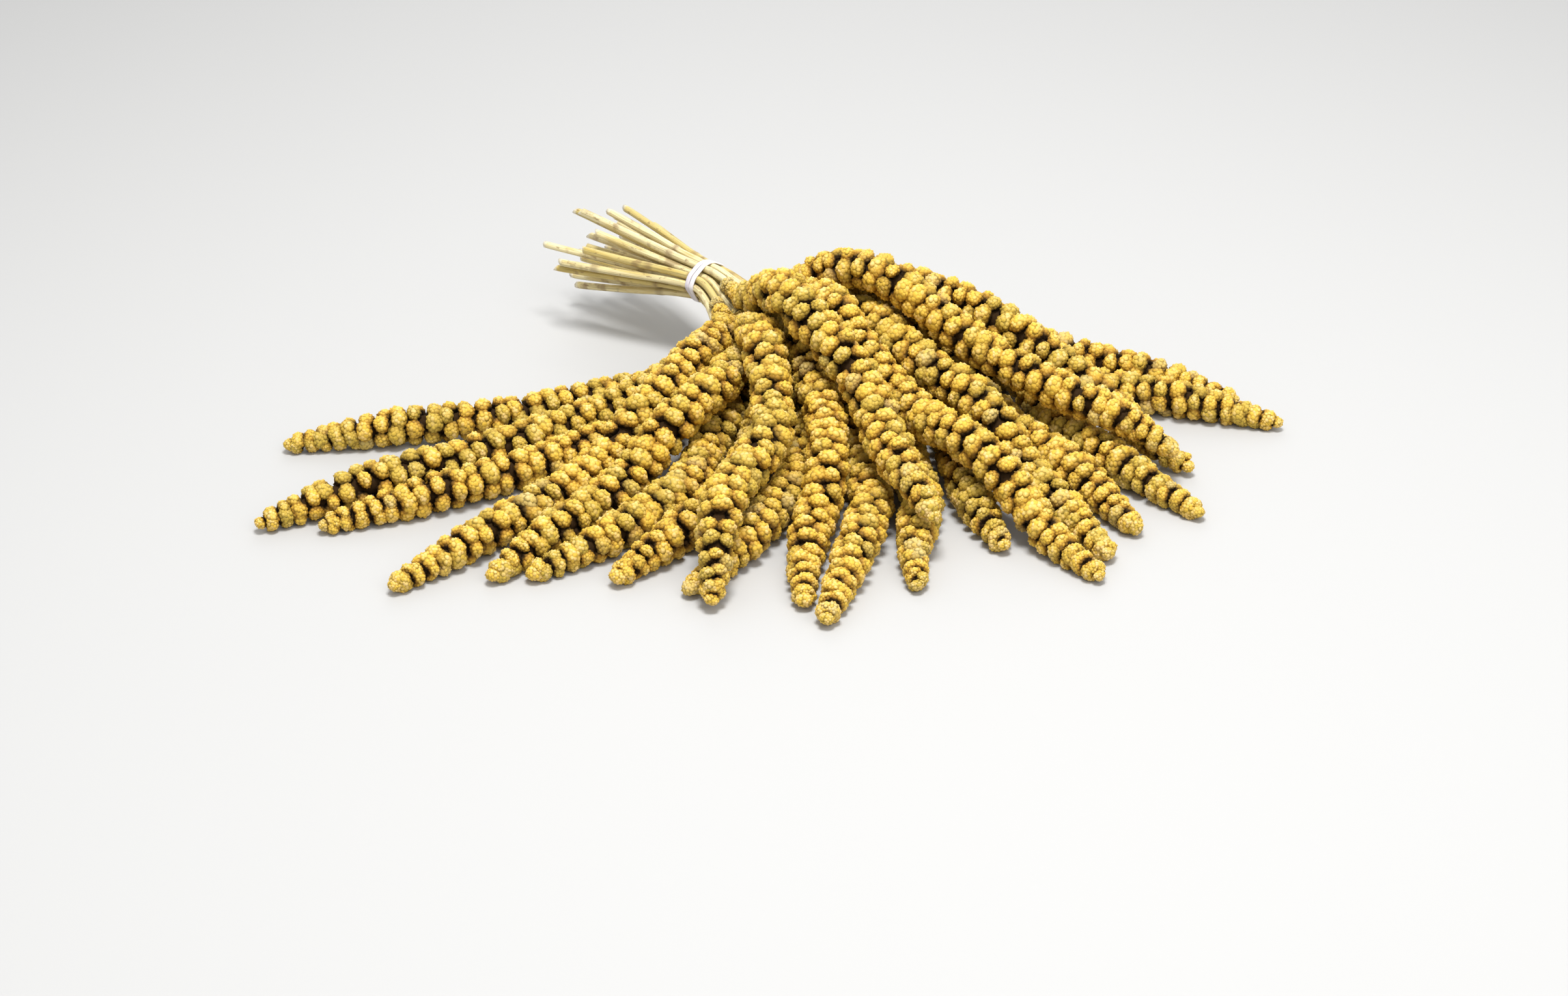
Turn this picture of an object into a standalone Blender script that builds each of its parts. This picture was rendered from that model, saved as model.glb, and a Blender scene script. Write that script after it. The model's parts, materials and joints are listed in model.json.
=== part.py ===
"""A tied bunch of foxtail millet heads, laid on a flat surface with the heads fanned out.

Frame: +X runs along the bundle of stalks, from the cut ends through the tie to the heads.
+Z is up, the surface is z = 0, and the origin is the middle of the bunch's footprint.
Until the last step the tie stands over x = 0, y = 0.
"""

import math
from dataclasses import dataclass

import bmesh
import bpy
import numpy as np
from mathutils import Vector

# Bundle of stalks where the band ties it
STALK_RADIUS = 0.0024
STALK_PITCH = 0.0053
TIE_HEIGHT = 0.052
TIE_WIDTH = 0.008
TIE_THICKNESS = 0.0012
TIE_SIDES = 30
SEAT_GAP = 0.0003

# Stalks in each row of the bundle, lowest row first, and the fan of headings from right to left
STALKS_IN_ROW = (4, 5, 6, 5, 2)
FAN_FROM = math.radians(-122)
FAN_TO = math.radians(26)
FAN_SLANT = 0.6
HEADING_JITTER = math.radians(3)
SEED = 3

# One head
HEAD_LENGTH = 0.325
HEAD_LENGTH_SPREAD = 0.09
HEAD_RADIUS = 0.0142
HEAD_RADIUS_SPREAD = 0.07
HEAD_DRIFT = math.radians(14)
DRIFT_LENGTH = 0.25
NECK_SHORTEST = 0.018
NECK_SPREAD = 0.012
NECK_STAGGER = 0.014
BASE_SHARE = 0.28
BASE_TAPER = 0.090
TIP_SHARE = 0.50
TIP_TAPER = 0.22

# Lobes of seed clusters on a head
LOBES_ROUND = 5
LOBE_PITCH = 0.0160
LOBE_LEAN = 0.16
LOBE_LEAST = 0.90
CREVICE_SHARE = 0.72
HEAD_TWIST = 4.0

# Cut ends behind the tie
CUT_LENGTH = 0.084
CUT_LENGTH_SPREAD = 0.046
FLARE_ACROSS = 0.050
FLARE_UP = 0.070
CUT_JITTER = 0.004
CUT_SHARES = (1.0, 0.5, 0.2)
FLARE_START = 0.03
STALK_SIDES = 6
STALK_RING_STEP = 0.009

# How the heads grow from the tie and settle on each other
STEP = 0.003
STATIONS = 140
CLEARANCE = 0.0007
LOOSENESS = 0.0012
LOOSE_LENGTH = 0.03
TURN_START = 0.045
TURN_MORE = 0.032
TURN_RATE = 0.16
SHARPEST_TURN = 0.135
SINK_SLOPE = 0.32
SINK_HEIGHT = 0.05
SINK_START = 0.02
SINK_RAMP = 0.05
NEIGHBOUR_STATIONS = 60
PUSHES = 24
SETTLE_TURNS = 260
IRONING_TURNS = 60
SETTLE_DROP = 0.00015
PAIR_REACH = 0.005
PAIR_REFRESH = 20
PUSH_GAIN = 0.9
STRAIGHTEN_GAIN = 0.8
SHAPE_HOLD = 0.35
SWEEP_HOLD = 0.06
IRONING_SWEEP_HOLD = 0.02
SWEEP_SPAN = 6
STALK_BEND = 0.012
HEAD_BEND = 0.035
STIFF_LENGTH = 0.006
LIMBER_LENGTH = 0.05

# Small flats that the weight rests on
REST_DEPTH = 0.0012
LEAST_FLAT_DEPTH = 0.0002

# Colours in linear light, with roughness
HEAD_COLOUR = (0.50, 0.30, 0.075, 1.0)
STALK_COLOUR = (0.72, 0.60, 0.30, 1.0)
TIE_COLOUR = (0.82, 0.80, 0.86, 1.0)


@dataclass
class Head:
    """One head with its stalk: its place in the bundle, its heading and its sizes."""

    across: float
    up: float
    heading: float
    drift: float
    neck: float
    length: float
    radius: float


def smooth_step(x):
    """Ease from 0 to 1 as x goes from 0 to 1."""
    x = np.clip(x, 0.0, 1.0)
    return x * x * (3.0 - 2.0 * x)


def lengths(vectors):
    """Length of each vector, as a column."""
    return np.sqrt((vectors * vectors).sum(-1))[..., None]


def unit(vectors):
    """Each vector at length one."""
    return vectors / np.maximum(lengths(vectors), 1e-9)


def stalk_places():
    """Place of each stalk across and up the bundle, in staggered rows, in the order of the fan."""
    places = []
    for row, count in enumerate(STALKS_IN_ROW):
        up = (row - (len(STALKS_IN_ROW) - 1) / 2) * STALK_PITCH * math.sqrt(0.75)
        for k in range(count):
            places.append((round((k - (count - 1) / 2) * STALK_PITCH, 6), round(up, 6)))
    return sorted(places, key=lambda place: round(place[0] + FAN_SLANT * place[1], 6))


def plan_heads():
    """Give each head its place, its heading, which turns evenly across the bundle, and its sizes."""
    rng = np.random.default_rng(SEED)
    places = stalk_places()
    heads = []
    for rank, (across, up) in enumerate(places):
        share = rank / (len(places) - 1)
        heads.append(Head(
            across=across,
            up=up,
            heading=FAN_FROM + (FAN_TO - FAN_FROM) * share + rng.uniform(-HEADING_JITTER, HEADING_JITTER),
            drift=rng.uniform(-HEAD_DRIFT, HEAD_DRIFT),
            neck=NECK_SHORTEST + rng.uniform(0.0, NECK_SPREAD) + NECK_STAGGER * (rank % 3),
            length=HEAD_LENGTH * rng.uniform(1 - HEAD_LENGTH_SPREAD, 1 + HEAD_LENGTH_SPREAD),
            radius=HEAD_RADIUS * rng.uniform(1 - HEAD_RADIUS_SPREAD, 1 + HEAD_RADIUS_SPREAD),
        ))
    return heads


def head_radius(head, along):
    """Outer radius of a head at a distance from the tie: slim at its base, blunt at its tip."""
    base = BASE_SHARE + (1 - BASE_SHARE) * smooth_step((along - head.neck) / BASE_TAPER)
    tip_start = 1 - TIP_TAPER
    tip = 1 - (1 - TIP_SHARE) * smooth_step(((along - head.neck) / head.length - tip_start) / TIP_TAPER)
    return head.radius * base * tip


def radii_along(heads):
    """Radius of each stalk and head at each station of its centre line."""
    along = np.arange(STATIONS) * STEP
    rows = [np.where(along < head.neck, STALK_RADIUS, head_radius(head, along)) for head in heads]
    return np.array(rows)


def last_stations(heads):
    """Number of stations in use on each centre line, up to the head's tip."""
    return np.array([math.ceil((head.neck + head.length) / STEP) + 1 for head in heads])


def wished_directions(heads, along, heights):
    """Direction that each head would take at this distance if it were alone."""
    wishes = []
    for head, height in zip(heads, heights):
        turn = TURN_START + TURN_MORE * abs(head.heading)
        heading = head.heading * float(smooth_step(along / turn))
        heading += head.drift * min(max((along - turn) / DRIFT_LENGTH, 0.0), 1.0)
        sink = SINK_SLOPE * min(max(height / SINK_HEIGHT, 0.0), 1.0)
        sink *= float(smooth_step((along - SINK_START) / SINK_RAMP))
        wishes.append((math.cos(heading), math.sin(heading), -sink))
    return unit(np.array(wishes))


def crowding(point, radius, grown, grown_radii, grown_live, spare):
    """Push on each growing point from its strongest contact with every other head."""
    offset = point[:, None, None, :] - grown[None]
    distance = np.sqrt((offset * offset).sum(-1))
    overlap = np.clip(radius[:, None, None] + grown_radii[None] + spare - distance, 0.0, None)
    overlap *= grown_live[None]
    count = len(point)
    overlap[np.arange(count), np.arange(count)] = 0.0
    strongest = overlap.argmax(2)[..., None]
    depth = np.take_along_axis(overlap, strongest, 2)
    apart = np.take_along_axis(distance, strongest, 2)
    away = np.take_along_axis(offset, strongest[..., None], 2)[:, :, 0]
    contacts = np.maximum((depth > 0).sum(1), 1)
    return (away / np.maximum(apart, 1e-6) * depth * 0.5).sum(1) / np.sqrt(contacts)


def grow(heads, radii, last):
    """Grow all centre lines together from the tie, turning, sinking and making room."""
    lines = np.zeros((len(heads), STATIONS, 3))
    lines[:, :] = [[(0.0, head.across, TIE_HEIGHT + head.up)] for head in heads]
    lines[:, :, 0] = np.arange(STATIONS) * STEP
    aim = np.zeros((len(heads), 3))
    aim[:, 0] = 1.0
    for k in range(round(STIFF_LENGTH / STEP) + 1, STATIONS):
        behind = lines[:, k - 1]
        wish = wished_directions(heads, k * STEP, behind[:, 2] - radii[:, k - 1])
        point = behind + unit(aim + TURN_RATE * (wish - aim)) * STEP
        first = max(0, k - NEIGHBOUR_STATIONS)
        live = np.arange(first, k + 1)[None, :] < last[:, None]
        spare = CLEARANCE + LOOSENESS * float(smooth_step(k * STEP / LOOSE_LENGTH))
        for _ in range(PUSHES):
            lines[:, k] = point
            near = lines[:, first:k + 1]
            point = point + crowding(point, radii[:, k], near, radii[:, first:k + 1], live, spare)
            point[:, 2] = np.maximum(point[:, 2], radii[:, k] - REST_DEPTH)
            change = unit(point - behind) - aim
            change *= np.minimum(1.0, SHARPEST_TURN / np.maximum(lengths(change), 1e-9))
            point = np.round(behind + unit(aim + change) * STEP, 9)
        aim = unit(point - behind)
        lines[:, k] = point
    return lines


def bends(lines, span):
    """Second difference of each line over a span of stations."""
    return lines[:, :-2 * span] - 2 * lines[:, span:-span] + lines[:, 2 * span:]


def spread_bend(change, lines, span):
    """Movement of a line's points that takes a change off its second differences."""
    move = np.zeros_like(lines)
    move[:, span:-span] += 0.5 * change
    move[:, :-2 * span] -= 0.25 * change
    move[:, 2 * span:] -= 0.25 * change
    return move


def close_pairs(lines, radii, last):
    """Pairs of stations on different heads that touch or nearly touch."""
    number = np.arange(lines.shape[0] * STATIONS).reshape(lines.shape[0], STATIONS)
    flat = lines.reshape(-1, 3)
    reach = radii.ravel()
    pairs = []
    for i in range(len(lines)):
        for j in range(i + 1, len(lines)):
            a = number[i, :last[i]]
            b = number[j, :last[j]]
            offset = flat[a][:, None] - flat[b][None]
            limit = reach[a][:, None] + reach[b][None] + PAIR_REACH
            hit_a, hit_b = np.nonzero((offset * offset).sum(-1) < limit * limit)
            pairs.append(np.stack((a[hit_a], b[hit_b])))
    return np.concatenate(pairs, axis=1)


def push_apart(lines, radii, freedom, pairs):
    """Move touching stations apart, square to their own lines."""
    flat = lines.reshape(-1, 3)
    reach = radii.ravel()
    free = freedom.ravel()
    first, second = pairs
    offset = flat[first] - flat[second]
    distance = lengths(offset)[:, 0]
    overlap = np.clip(reach[first] + reach[second] + CLEARANCE - distance, 0.0, None)
    hit = overlap > 0
    first, second, overlap = first[hit], second[hit], overlap[hit]
    push = offset[hit] / np.maximum(distance[hit], 1e-9)[:, None] * (overlap * overlap)[:, None]
    total_free = np.maximum(free[first] + free[second], 1e-9)
    move = np.zeros_like(flat)
    weight = np.zeros(len(flat))
    np.add.at(move, first, push * (free[first] / total_free)[:, None])
    np.add.at(move, second, -push * (free[second] / total_free)[:, None])
    np.add.at(weight, first, overlap)
    np.add.at(weight, second, overlap)
    move = (PUSH_GAIN * move / np.maximum(weight, 1e-9)[:, None]).reshape(lines.shape)
    tangent = np.zeros_like(lines)
    tangent[:, 1:-1] = lines[:, 2:] - lines[:, :-2]
    tangent[:, 0] = lines[:, 1] - lines[:, 0]
    tangent[:, -1] = lines[:, -1] - lines[:, -2]
    tangent = unit(tangent)
    return move - tangent * (tangent * move).sum(-1)[..., None]


def keep_spacing(lines, freedom, live):
    """Bring neighbouring stations of each line back to one step apart."""
    for _ in range(2):
        span = lines[:, 1:] - lines[:, :-1]
        fix = span * (1 - STEP / np.maximum(lengths(span), 1e-9)) * live[:, 1:, None]
        before = freedom[:, :-1, None]
        after = freedom[:, 1:, None]
        total = np.maximum(before + after, 1e-9)
        lines[:, :-1] += fix * before / total * 0.5
        lines[:, 1:] -= fix * after / total * 0.5


def hold_bends(lines, own_bends, span, gain, live, free):
    """Draw each line back towards the bends that it had when it had grown."""
    change = gain * (bends(lines, span) - own_bends) * live[:, 2 * span:, None]
    return lines + spread_bend(change, lines, span) * free


def open_sharp_bends(lines, bend_limit, live, free):
    """Open every bend that is tighter than a stalk or head can take."""
    for _ in range(2):
        bend = bends(lines, 1)
        excess = np.clip(1 - bend_limit / np.maximum(lengths(bend), 1e-9), 0.0, 1.0)
        change = STRAIGHTEN_GAIN * bend * excess * live[:, 2:, None]
        lines = lines + spread_bend(change, lines, 1) * free
    return lines


def settle(lines, radii, last):
    """Let the heads sink onto each other and the surface, keeping their curves smooth."""
    along = np.arange(STATIONS) * STEP
    live = np.arange(STATIONS)[None, :] < last[:, None]
    freedom = live * smooth_step((along - STIFF_LENGTH) / LIMBER_LENGTH)[None, :]
    free = freedom[..., None]
    bend_radius = STALK_BEND + (HEAD_BEND - STALK_BEND) * smooth_step(along / LIMBER_LENGTH)
    bend_limit = (STEP * STEP / bend_radius)[None, 1:-1, None]
    own_bends = bends(lines, 1)
    own_sweeps = bends(lines, SWEEP_SPAN)
    for turn in range(SETTLE_TURNS):
        ironing = turn >= SETTLE_TURNS - IRONING_TURNS
        if turn % PAIR_REFRESH == 0:
            pairs = close_pairs(lines, radii, last)
        if not ironing:
            lines[:, :, 2] -= SETTLE_DROP * freedom
        lines = hold_bends(lines, own_bends, 1, SHAPE_HOLD, live, free)
        sweep_hold = IRONING_SWEEP_HOLD if ironing else SWEEP_HOLD
        lines = hold_bends(lines, own_sweeps, SWEEP_SPAN, sweep_hold, live, free)
        lines = open_sharp_bends(lines, bend_limit, live, free)
        lines += push_apart(lines, radii, freedom, pairs)
        lifted = np.maximum(lines[:, :, 2], radii - REST_DEPTH)
        lines[:, :, 2] = np.where(freedom > 0, lifted, lines[:, :, 2])
        keep_spacing(lines, freedom, live)
        lines = np.round(lines, 9)
    return lines


def carried_frames(points, first_side):
    """Tangent and two side vectors at each point, carried along without twist."""
    tangents = np.zeros_like(points)
    tangents[1:-1] = points[2:] - points[:-2]
    tangents[0] = points[1] - points[0]
    tangents[-1] = points[-1] - points[-2]
    tangents = unit(tangents)
    sides = np.zeros_like(points)
    side = np.array(first_side, dtype=float)
    for k, tangent in enumerate(tangents):
        side = side - tangent * (tangent * side).sum()
        side = unit(side)
        sides[k] = side
    return tangents, sides, np.cross(tangents, sides)


class Path:
    """A centre line that can be read at any distance along it."""

    def __init__(self, points, first_side, step):
        self.points = points
        self.step = step
        self.tangents, self.sides, self.tops = carried_frames(points, first_side)

    def read(self, table, along):
        """Value of a table of the path's points at a distance along it."""
        place = min(max(along / self.step, 0.0), len(self.points) - 1.000001)
        k = int(place)
        share = place - k
        return table[k] * (1 - share) + table[k + 1] * share

    def out(self, along, angle, radius):
        """Point at a radius from the centre line, turned by an angle about it."""
        side = self.read(self.sides, along)
        top = self.read(self.tops, along)
        direction = side * math.cos(angle) + top * math.sin(angle)
        return self.read(self.points, along) + unit(direction) * radius


def new_object(name, mesh, material, parent):
    """Put a mesh in the scene as one named piece of the bunch."""
    mesh.materials.append(material)
    piece = bpy.data.objects.new(name, mesh)
    piece.parent = parent
    bpy.context.scene.collection.objects.link(piece)
    return piece


def mesh_from(name, shape):
    """Turn a bmesh into a mesh whose faces point outwards."""
    bmesh.ops.recalc_face_normals(shape, faces=shape.faces)
    mesh = bpy.data.meshes.new(name)
    shape.to_mesh(mesh)
    shape.free()
    return mesh


def lobe_relief(head, path, rng):
    """Rows of staggered lobes round a head: a peak for each lobe inside six crevice points."""
    shape = bmesh.new()
    rows = round(head.length / LOBE_PITCH)
    pitch = head.length / rows
    half_turn = math.pi / LOBES_ROUND
    points_round = 2 * LOBES_ROUND
    start = rng.uniform(0.0, 2 * math.pi)

    def place(distance, index, share):
        along = head.neck + distance
        angle = start + index * half_turn + HEAD_TWIST * distance
        radius = float(head_radius(head, np.array(along))) * share
        return shape.verts.new(Vector(path.out(along, angle, radius)))

    rings = []
    for row in range(rows + 1):
        ring = []
        for index in range(points_round):
            shift = pitch / 6 if (index + row) % 2 else -pitch / 6
            if row in (0, rows):
                shift = 0.0
            ring.append(place(row * pitch + shift, index, CREVICE_SHARE))
        rings.append(ring)
    for row in range(rows):
        for lobe in range(LOBES_ROUND):
            index = 2 * lobe + row % 2
            lean = (0.5 + LOBE_LEAN) * pitch
            peak = place(row * pitch + lean, index, rng.uniform(LOBE_LEAST, 1.0))
            around = [rings[row][(index + k) % points_round] for k in (-1, 0, 1)]
            around += [rings[row + 1][(index + k) % points_round] for k in (1, 0, -1)]
            for k in range(6):
                shape.faces.new((peak, around[k], around[(k + 1) % 6]))
    shape.faces.new(rings[0])
    tip = shape.verts.new(Vector(path.out(head.neck + head.length, 0.0, 0.0)))
    for k in range(points_round):
        shape.faces.new((rings[-1][k], rings[-1][(k + 1) % points_round], tip))
    return shape


def flatten_underside(shape):
    """Cut what sinks into the surface, so that the lobes underneath rest on small flats."""
    for vert in shape.verts:
        if abs(vert.co.z) < LEAST_FLAT_DEPTH:
            vert.co.z = LEAST_FLAT_DEPTH
    everything = shape.verts[:] + shape.edges[:] + shape.faces[:]
    bmesh.ops.bisect_plane(
        shape, geom=everything, dist=1e-7, plane_co=(0, 0, 0), plane_no=(0, 0, 1), clear_inner=True)
    rim = [edge for edge in shape.edges if edge.is_boundary]
    if rim:
        bmesh.ops.holes_fill(shape, edges=rim, sides=0)


def build_head(name, head, path, rng, material, parent):
    """One head, with its lobes fused to its core."""
    shape = lobe_relief(head, path, rng)
    flatten_underside(shape)
    return new_object(name, mesh_from(name, shape), material, parent)


def cut_end_points(head, rng):
    """Points of a stalk behind the tie, from its cut end to the tie's back edge."""
    length = CUT_LENGTH + rng.uniform(0.0, CUT_LENGTH_SPREAD)
    drift_across = rng.uniform(-CUT_JITTER, CUT_JITTER)
    drift_up = rng.uniform(-CUT_JITTER, CUT_JITTER)
    points = []
    for share in CUT_SHARES:
        back = length * share
        ease = back * smooth_step(back / FLARE_START)
        points.append((
            -back - TIE_WIDTH / 2,
            head.across * (1 + ease / FLARE_ACROSS) + drift_across * share,
            TIE_HEIGHT + head.up * (1 + ease / FLARE_UP) + drift_up * share,
        ))
    points.append((-TIE_WIDTH / 2, head.across, TIE_HEIGHT + head.up))
    return points


def neck_distances(head):
    """Distances from the tie at which a stalk's rings stand, up to the head's base."""
    end = head.neck - SEAT_GAP
    start = STIFF_LENGTH
    count = max(2, math.ceil((end - start) / STALK_RING_STEP))
    return [start + (end - start) * k / count for k in range(count + 1)]


def build_stalk(name, head, path, rng, material, parent):
    """One stalk, from its cut end through the tie to the base of its head."""
    behind = np.array(cut_end_points(head, rng))
    _, behind_sides, behind_tops = carried_frames(behind, (0.0, 1.0, 0.0))
    frames = list(zip(behind, behind_sides, behind_tops))
    for along in neck_distances(head):
        side = unit(path.read(path.sides, along))
        frames.append((path.read(path.points, along), side, unit(path.read(path.tops, along))))
    shape = bmesh.new()
    rings = []
    for centre, side, top in frames:
        ring = []
        for k in range(STALK_SIDES):
            angle = 2 * math.pi * k / STALK_SIDES
            out = side * math.cos(angle) + top * math.sin(angle)
            ring.append(shape.verts.new(Vector(centre + out * STALK_RADIUS)))
        rings.append(ring)
    for lower, upper in zip(rings, rings[1:]):
        for k in range(STALK_SIDES):
            j = (k + 1) % STALK_SIDES
            shape.faces.new((lower[k], lower[j], upper[j], upper[k]))
    shape.faces.new(rings[0])
    shape.faces.new(rings[-1])
    return new_object(name, mesh_from(name, shape), material, parent)


def band_outline(heads, offset):
    """Outline of a band pulled tight round the bundle, at an offset from the stalks' centres."""
    outline = []
    for k in range(TIE_SIDES):
        angle = 2 * math.pi * k / TIE_SIDES
        y, z = math.cos(angle), math.sin(angle)
        outer = max(heads, key=lambda head: round(head.across * y + head.up * z, 9))
        outline.append((outer.across + offset * y, TIE_HEIGHT + outer.up + offset * z))
    return outline


def build_tie(heads, material, parent):
    """The band that ties the stalks."""
    shape = bmesh.new()
    inside = STALK_RADIUS + SEAT_GAP
    loops = []
    for x, offset in (
        (-TIE_WIDTH / 2, inside),
        (-TIE_WIDTH / 2, inside + TIE_THICKNESS),
        (TIE_WIDTH / 2, inside + TIE_THICKNESS),
        (TIE_WIDTH / 2, inside),
    ):
        loops.append([shape.verts.new((x, y, z)) for y, z in band_outline(heads, offset)])
    for loop, after in zip(loops, loops[1:] + loops[:1]):
        for k in range(len(loop)):
            j = (k + 1) % len(loop)
            shape.faces.new((loop[k], loop[j], after[j], after[k]))
    return new_object("tie", mesh_from("tie", shape), material, parent)


def surface(name, colour, roughness):
    """A plain Principled material."""
    material = bpy.data.materials.new(name)
    material.use_nodes = True
    shader = material.node_tree.nodes["Principled BSDF"]
    shader.inputs["Base Color"].default_value = colour
    shader.inputs["Roughness"].default_value = roughness
    shader.inputs["Metallic"].default_value = 0.0
    return material


def centre_on_origin(holder, pieces):
    """Move the bunch so that the origin is under the middle of its footprint."""
    corners = [vert.co for piece in pieces for vert in piece.data.vertices]
    middle_x = (min(co.x for co in corners) + max(co.x for co in corners)) / 2
    middle_y = (min(co.y for co in corners) + max(co.y for co in corners)) / 2
    holder.location = (-middle_x, -middle_y, 0.0)


def build():
    """Build the whole bunch."""
    for old in list(bpy.data.objects):
        bpy.data.objects.remove(old, do_unlink=True)
    holder = bpy.data.objects.new("bunch", None)
    bpy.context.scene.collection.objects.link(holder)
    seed_skin = surface("millet_seed", HEAD_COLOUR, 0.65)
    straw = surface("straw", STALK_COLOUR, 0.5)
    band = surface("band", TIE_COLOUR, 0.45)
    heads = plan_heads()
    radii = radii_along(heads)
    last = last_stations(heads)
    lines = settle(grow(heads, radii, last), radii, last)
    rng = np.random.default_rng(SEED + 1)
    pieces = [build_tie(heads, band, holder)]
    for number, head in enumerate(heads, start=1):
        path = Path(lines[number - 1, :last[number - 1]], (0.0, 1.0, 0.0), STEP)
        pieces.append(build_head(f"head_{number:02d}", head, path, rng, seed_skin, holder))
        pieces.append(build_stalk(f"stalk_{number:02d}", head, path, rng, straw, holder))
    centre_on_origin(holder, pieces)


if __name__ == "__main__":
    build()
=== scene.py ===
"""Looks of a tied bunch of dried foxtail millet heads that lies on a pale floor.

Every head, every stalk and the tie gets a finer piece that stands for its plain solid. The centre
lines are followed along the solids of the frame, so each piece lies where its solid lies.
"""

import json
import logging
import math
from collections.abc import Iterable
from dataclasses import dataclass
from enum import Enum
from functools import reduce

import bmesh
import bpy
import numpy as np
from mathutils import Euler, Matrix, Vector

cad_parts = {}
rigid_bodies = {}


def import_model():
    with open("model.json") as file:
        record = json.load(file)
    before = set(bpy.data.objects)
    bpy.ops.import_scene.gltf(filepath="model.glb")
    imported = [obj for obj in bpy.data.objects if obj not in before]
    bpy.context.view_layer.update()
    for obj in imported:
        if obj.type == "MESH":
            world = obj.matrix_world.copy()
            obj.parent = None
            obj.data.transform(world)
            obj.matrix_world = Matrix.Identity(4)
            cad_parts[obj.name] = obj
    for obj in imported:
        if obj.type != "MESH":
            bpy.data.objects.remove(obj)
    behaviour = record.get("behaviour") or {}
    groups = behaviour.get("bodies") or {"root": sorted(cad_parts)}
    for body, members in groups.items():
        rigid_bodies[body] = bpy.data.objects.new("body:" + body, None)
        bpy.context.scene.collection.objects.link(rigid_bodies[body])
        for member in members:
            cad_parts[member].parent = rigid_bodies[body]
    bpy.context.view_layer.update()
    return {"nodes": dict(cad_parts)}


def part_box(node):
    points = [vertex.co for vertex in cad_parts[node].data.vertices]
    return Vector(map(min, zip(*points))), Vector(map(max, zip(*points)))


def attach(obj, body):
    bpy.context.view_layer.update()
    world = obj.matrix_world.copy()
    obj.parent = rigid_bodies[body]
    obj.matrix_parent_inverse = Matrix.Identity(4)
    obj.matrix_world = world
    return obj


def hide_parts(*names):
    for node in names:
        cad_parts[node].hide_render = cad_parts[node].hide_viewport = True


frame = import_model()

LOG = logging.getLogger("millet")

Socket = bpy.types.NodeSocket
Colour = tuple[float, float, float, float]
Range = tuple[float, float]

BODY = "root"
HEAD_COUNT = 22

# Camera: its place as seen from the middle of the tie, its turn and its lens in millimetres
CAMERA_FROM_TIE = (1.0701, -0.9914, 0.6132)
CAMERA_TURN = (61.978, 2.049, 44.360)
CAMERA_LENS = 55.89
CAMERA_SENSOR = 36.0

# How the centre lines are followed along the solids, in metres
SAMPLE_SPACING = 0.0025
STALK_STEP = 0.003
STALK_WINDOW = 0.004
HEAD_STEP = 0.004
HEAD_WINDOW = 0.009
WIDEST = 0.026

# Windows to each side that count, and weight of the old heading against the newest step
WINDOWS_EACH_WAY = 2
HEADING_WEIGHT = 2

# Share of the surface inside the radius, in percent
INSIDE_PERCENT = 99.5

# Least length of a line's last step, as a share of a whole step
LEAST_LAST_STEP = 0.25

# Rounds of smoothing for centres and radii, and points that give a line's heading at its end
CENTRE_ROUNDS = 3
RADIUS_ROUNDS = 4
END_POINTS = 4

# Most that a head's girth may be, as a share of its middle value
GIRTH_LIMIT = 1.12

# Fewest rows of lobes on a head
FEWEST_ROWS = 3

# Lowest height of any lobe above the floor
FLOOR_GAP = 0.0002

# Least length that a vector is divided by
TINY = 1e-12


class Slot(Enum):
    """Material slots of the record."""

    HEADS = "millet_heads"
    STALKS = "straw_stalks"
    TIE = "tie_band"


class Kind(Enum):
    """Kinds of socket that the node trees use."""

    NUMBER = "NodeSocketFloat"
    COUNT = "NodeSocketInt"
    VECTOR = "NodeSocketVector"
    GEOMETRY = "NodeSocketGeometry"
    MATERIAL = "NodeSocketMaterial"
    COLLECTION = "NodeSocketCollection"


@dataclass(frozen=True)
class Ease:
    """A smooth step: its start up to the low value, and its end from the high value on."""

    low: float
    high: float
    end: float = 1.0
    start: float = 0.0


@dataclass(frozen=True)
class Slope:
    """A straight rise: its value at 0, and what it gains by 1."""

    start: float
    gain: float


@dataclass(frozen=True)
class Mottle:
    """Blotches: how many fit in a metre, how clear they are, and the share of that number lengthwise."""

    per_metre: float
    contrast: float
    along: float = 1.0


@dataclass(frozen=True)
class Relief:
    """Small bumps: their height in metres, and how strongly they show."""

    height: float
    strength: float


def unit(vectors: np.ndarray) -> np.ndarray:
    """Each vector at length one."""
    return vectors / np.maximum(np.linalg.norm(vectors, axis=-1, keepdims=True), TINY)


def smooth_step(x: np.ndarray | float) -> np.ndarray | float:
    """Ease from 0 to 1 as x goes from 0 to 1."""
    x = np.clip(x, 0.0, 1.0)
    return x * x * (3.0 - 2.0 * x)


def points_at(places: np.ndarray | float, along: np.ndarray, points: np.ndarray) -> np.ndarray:
    """Points of a line at some places, where along holds the places of its own points."""
    return np.stack([np.interp(places, along, points[:, k]) for k in range(3)], axis=-1)


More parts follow.
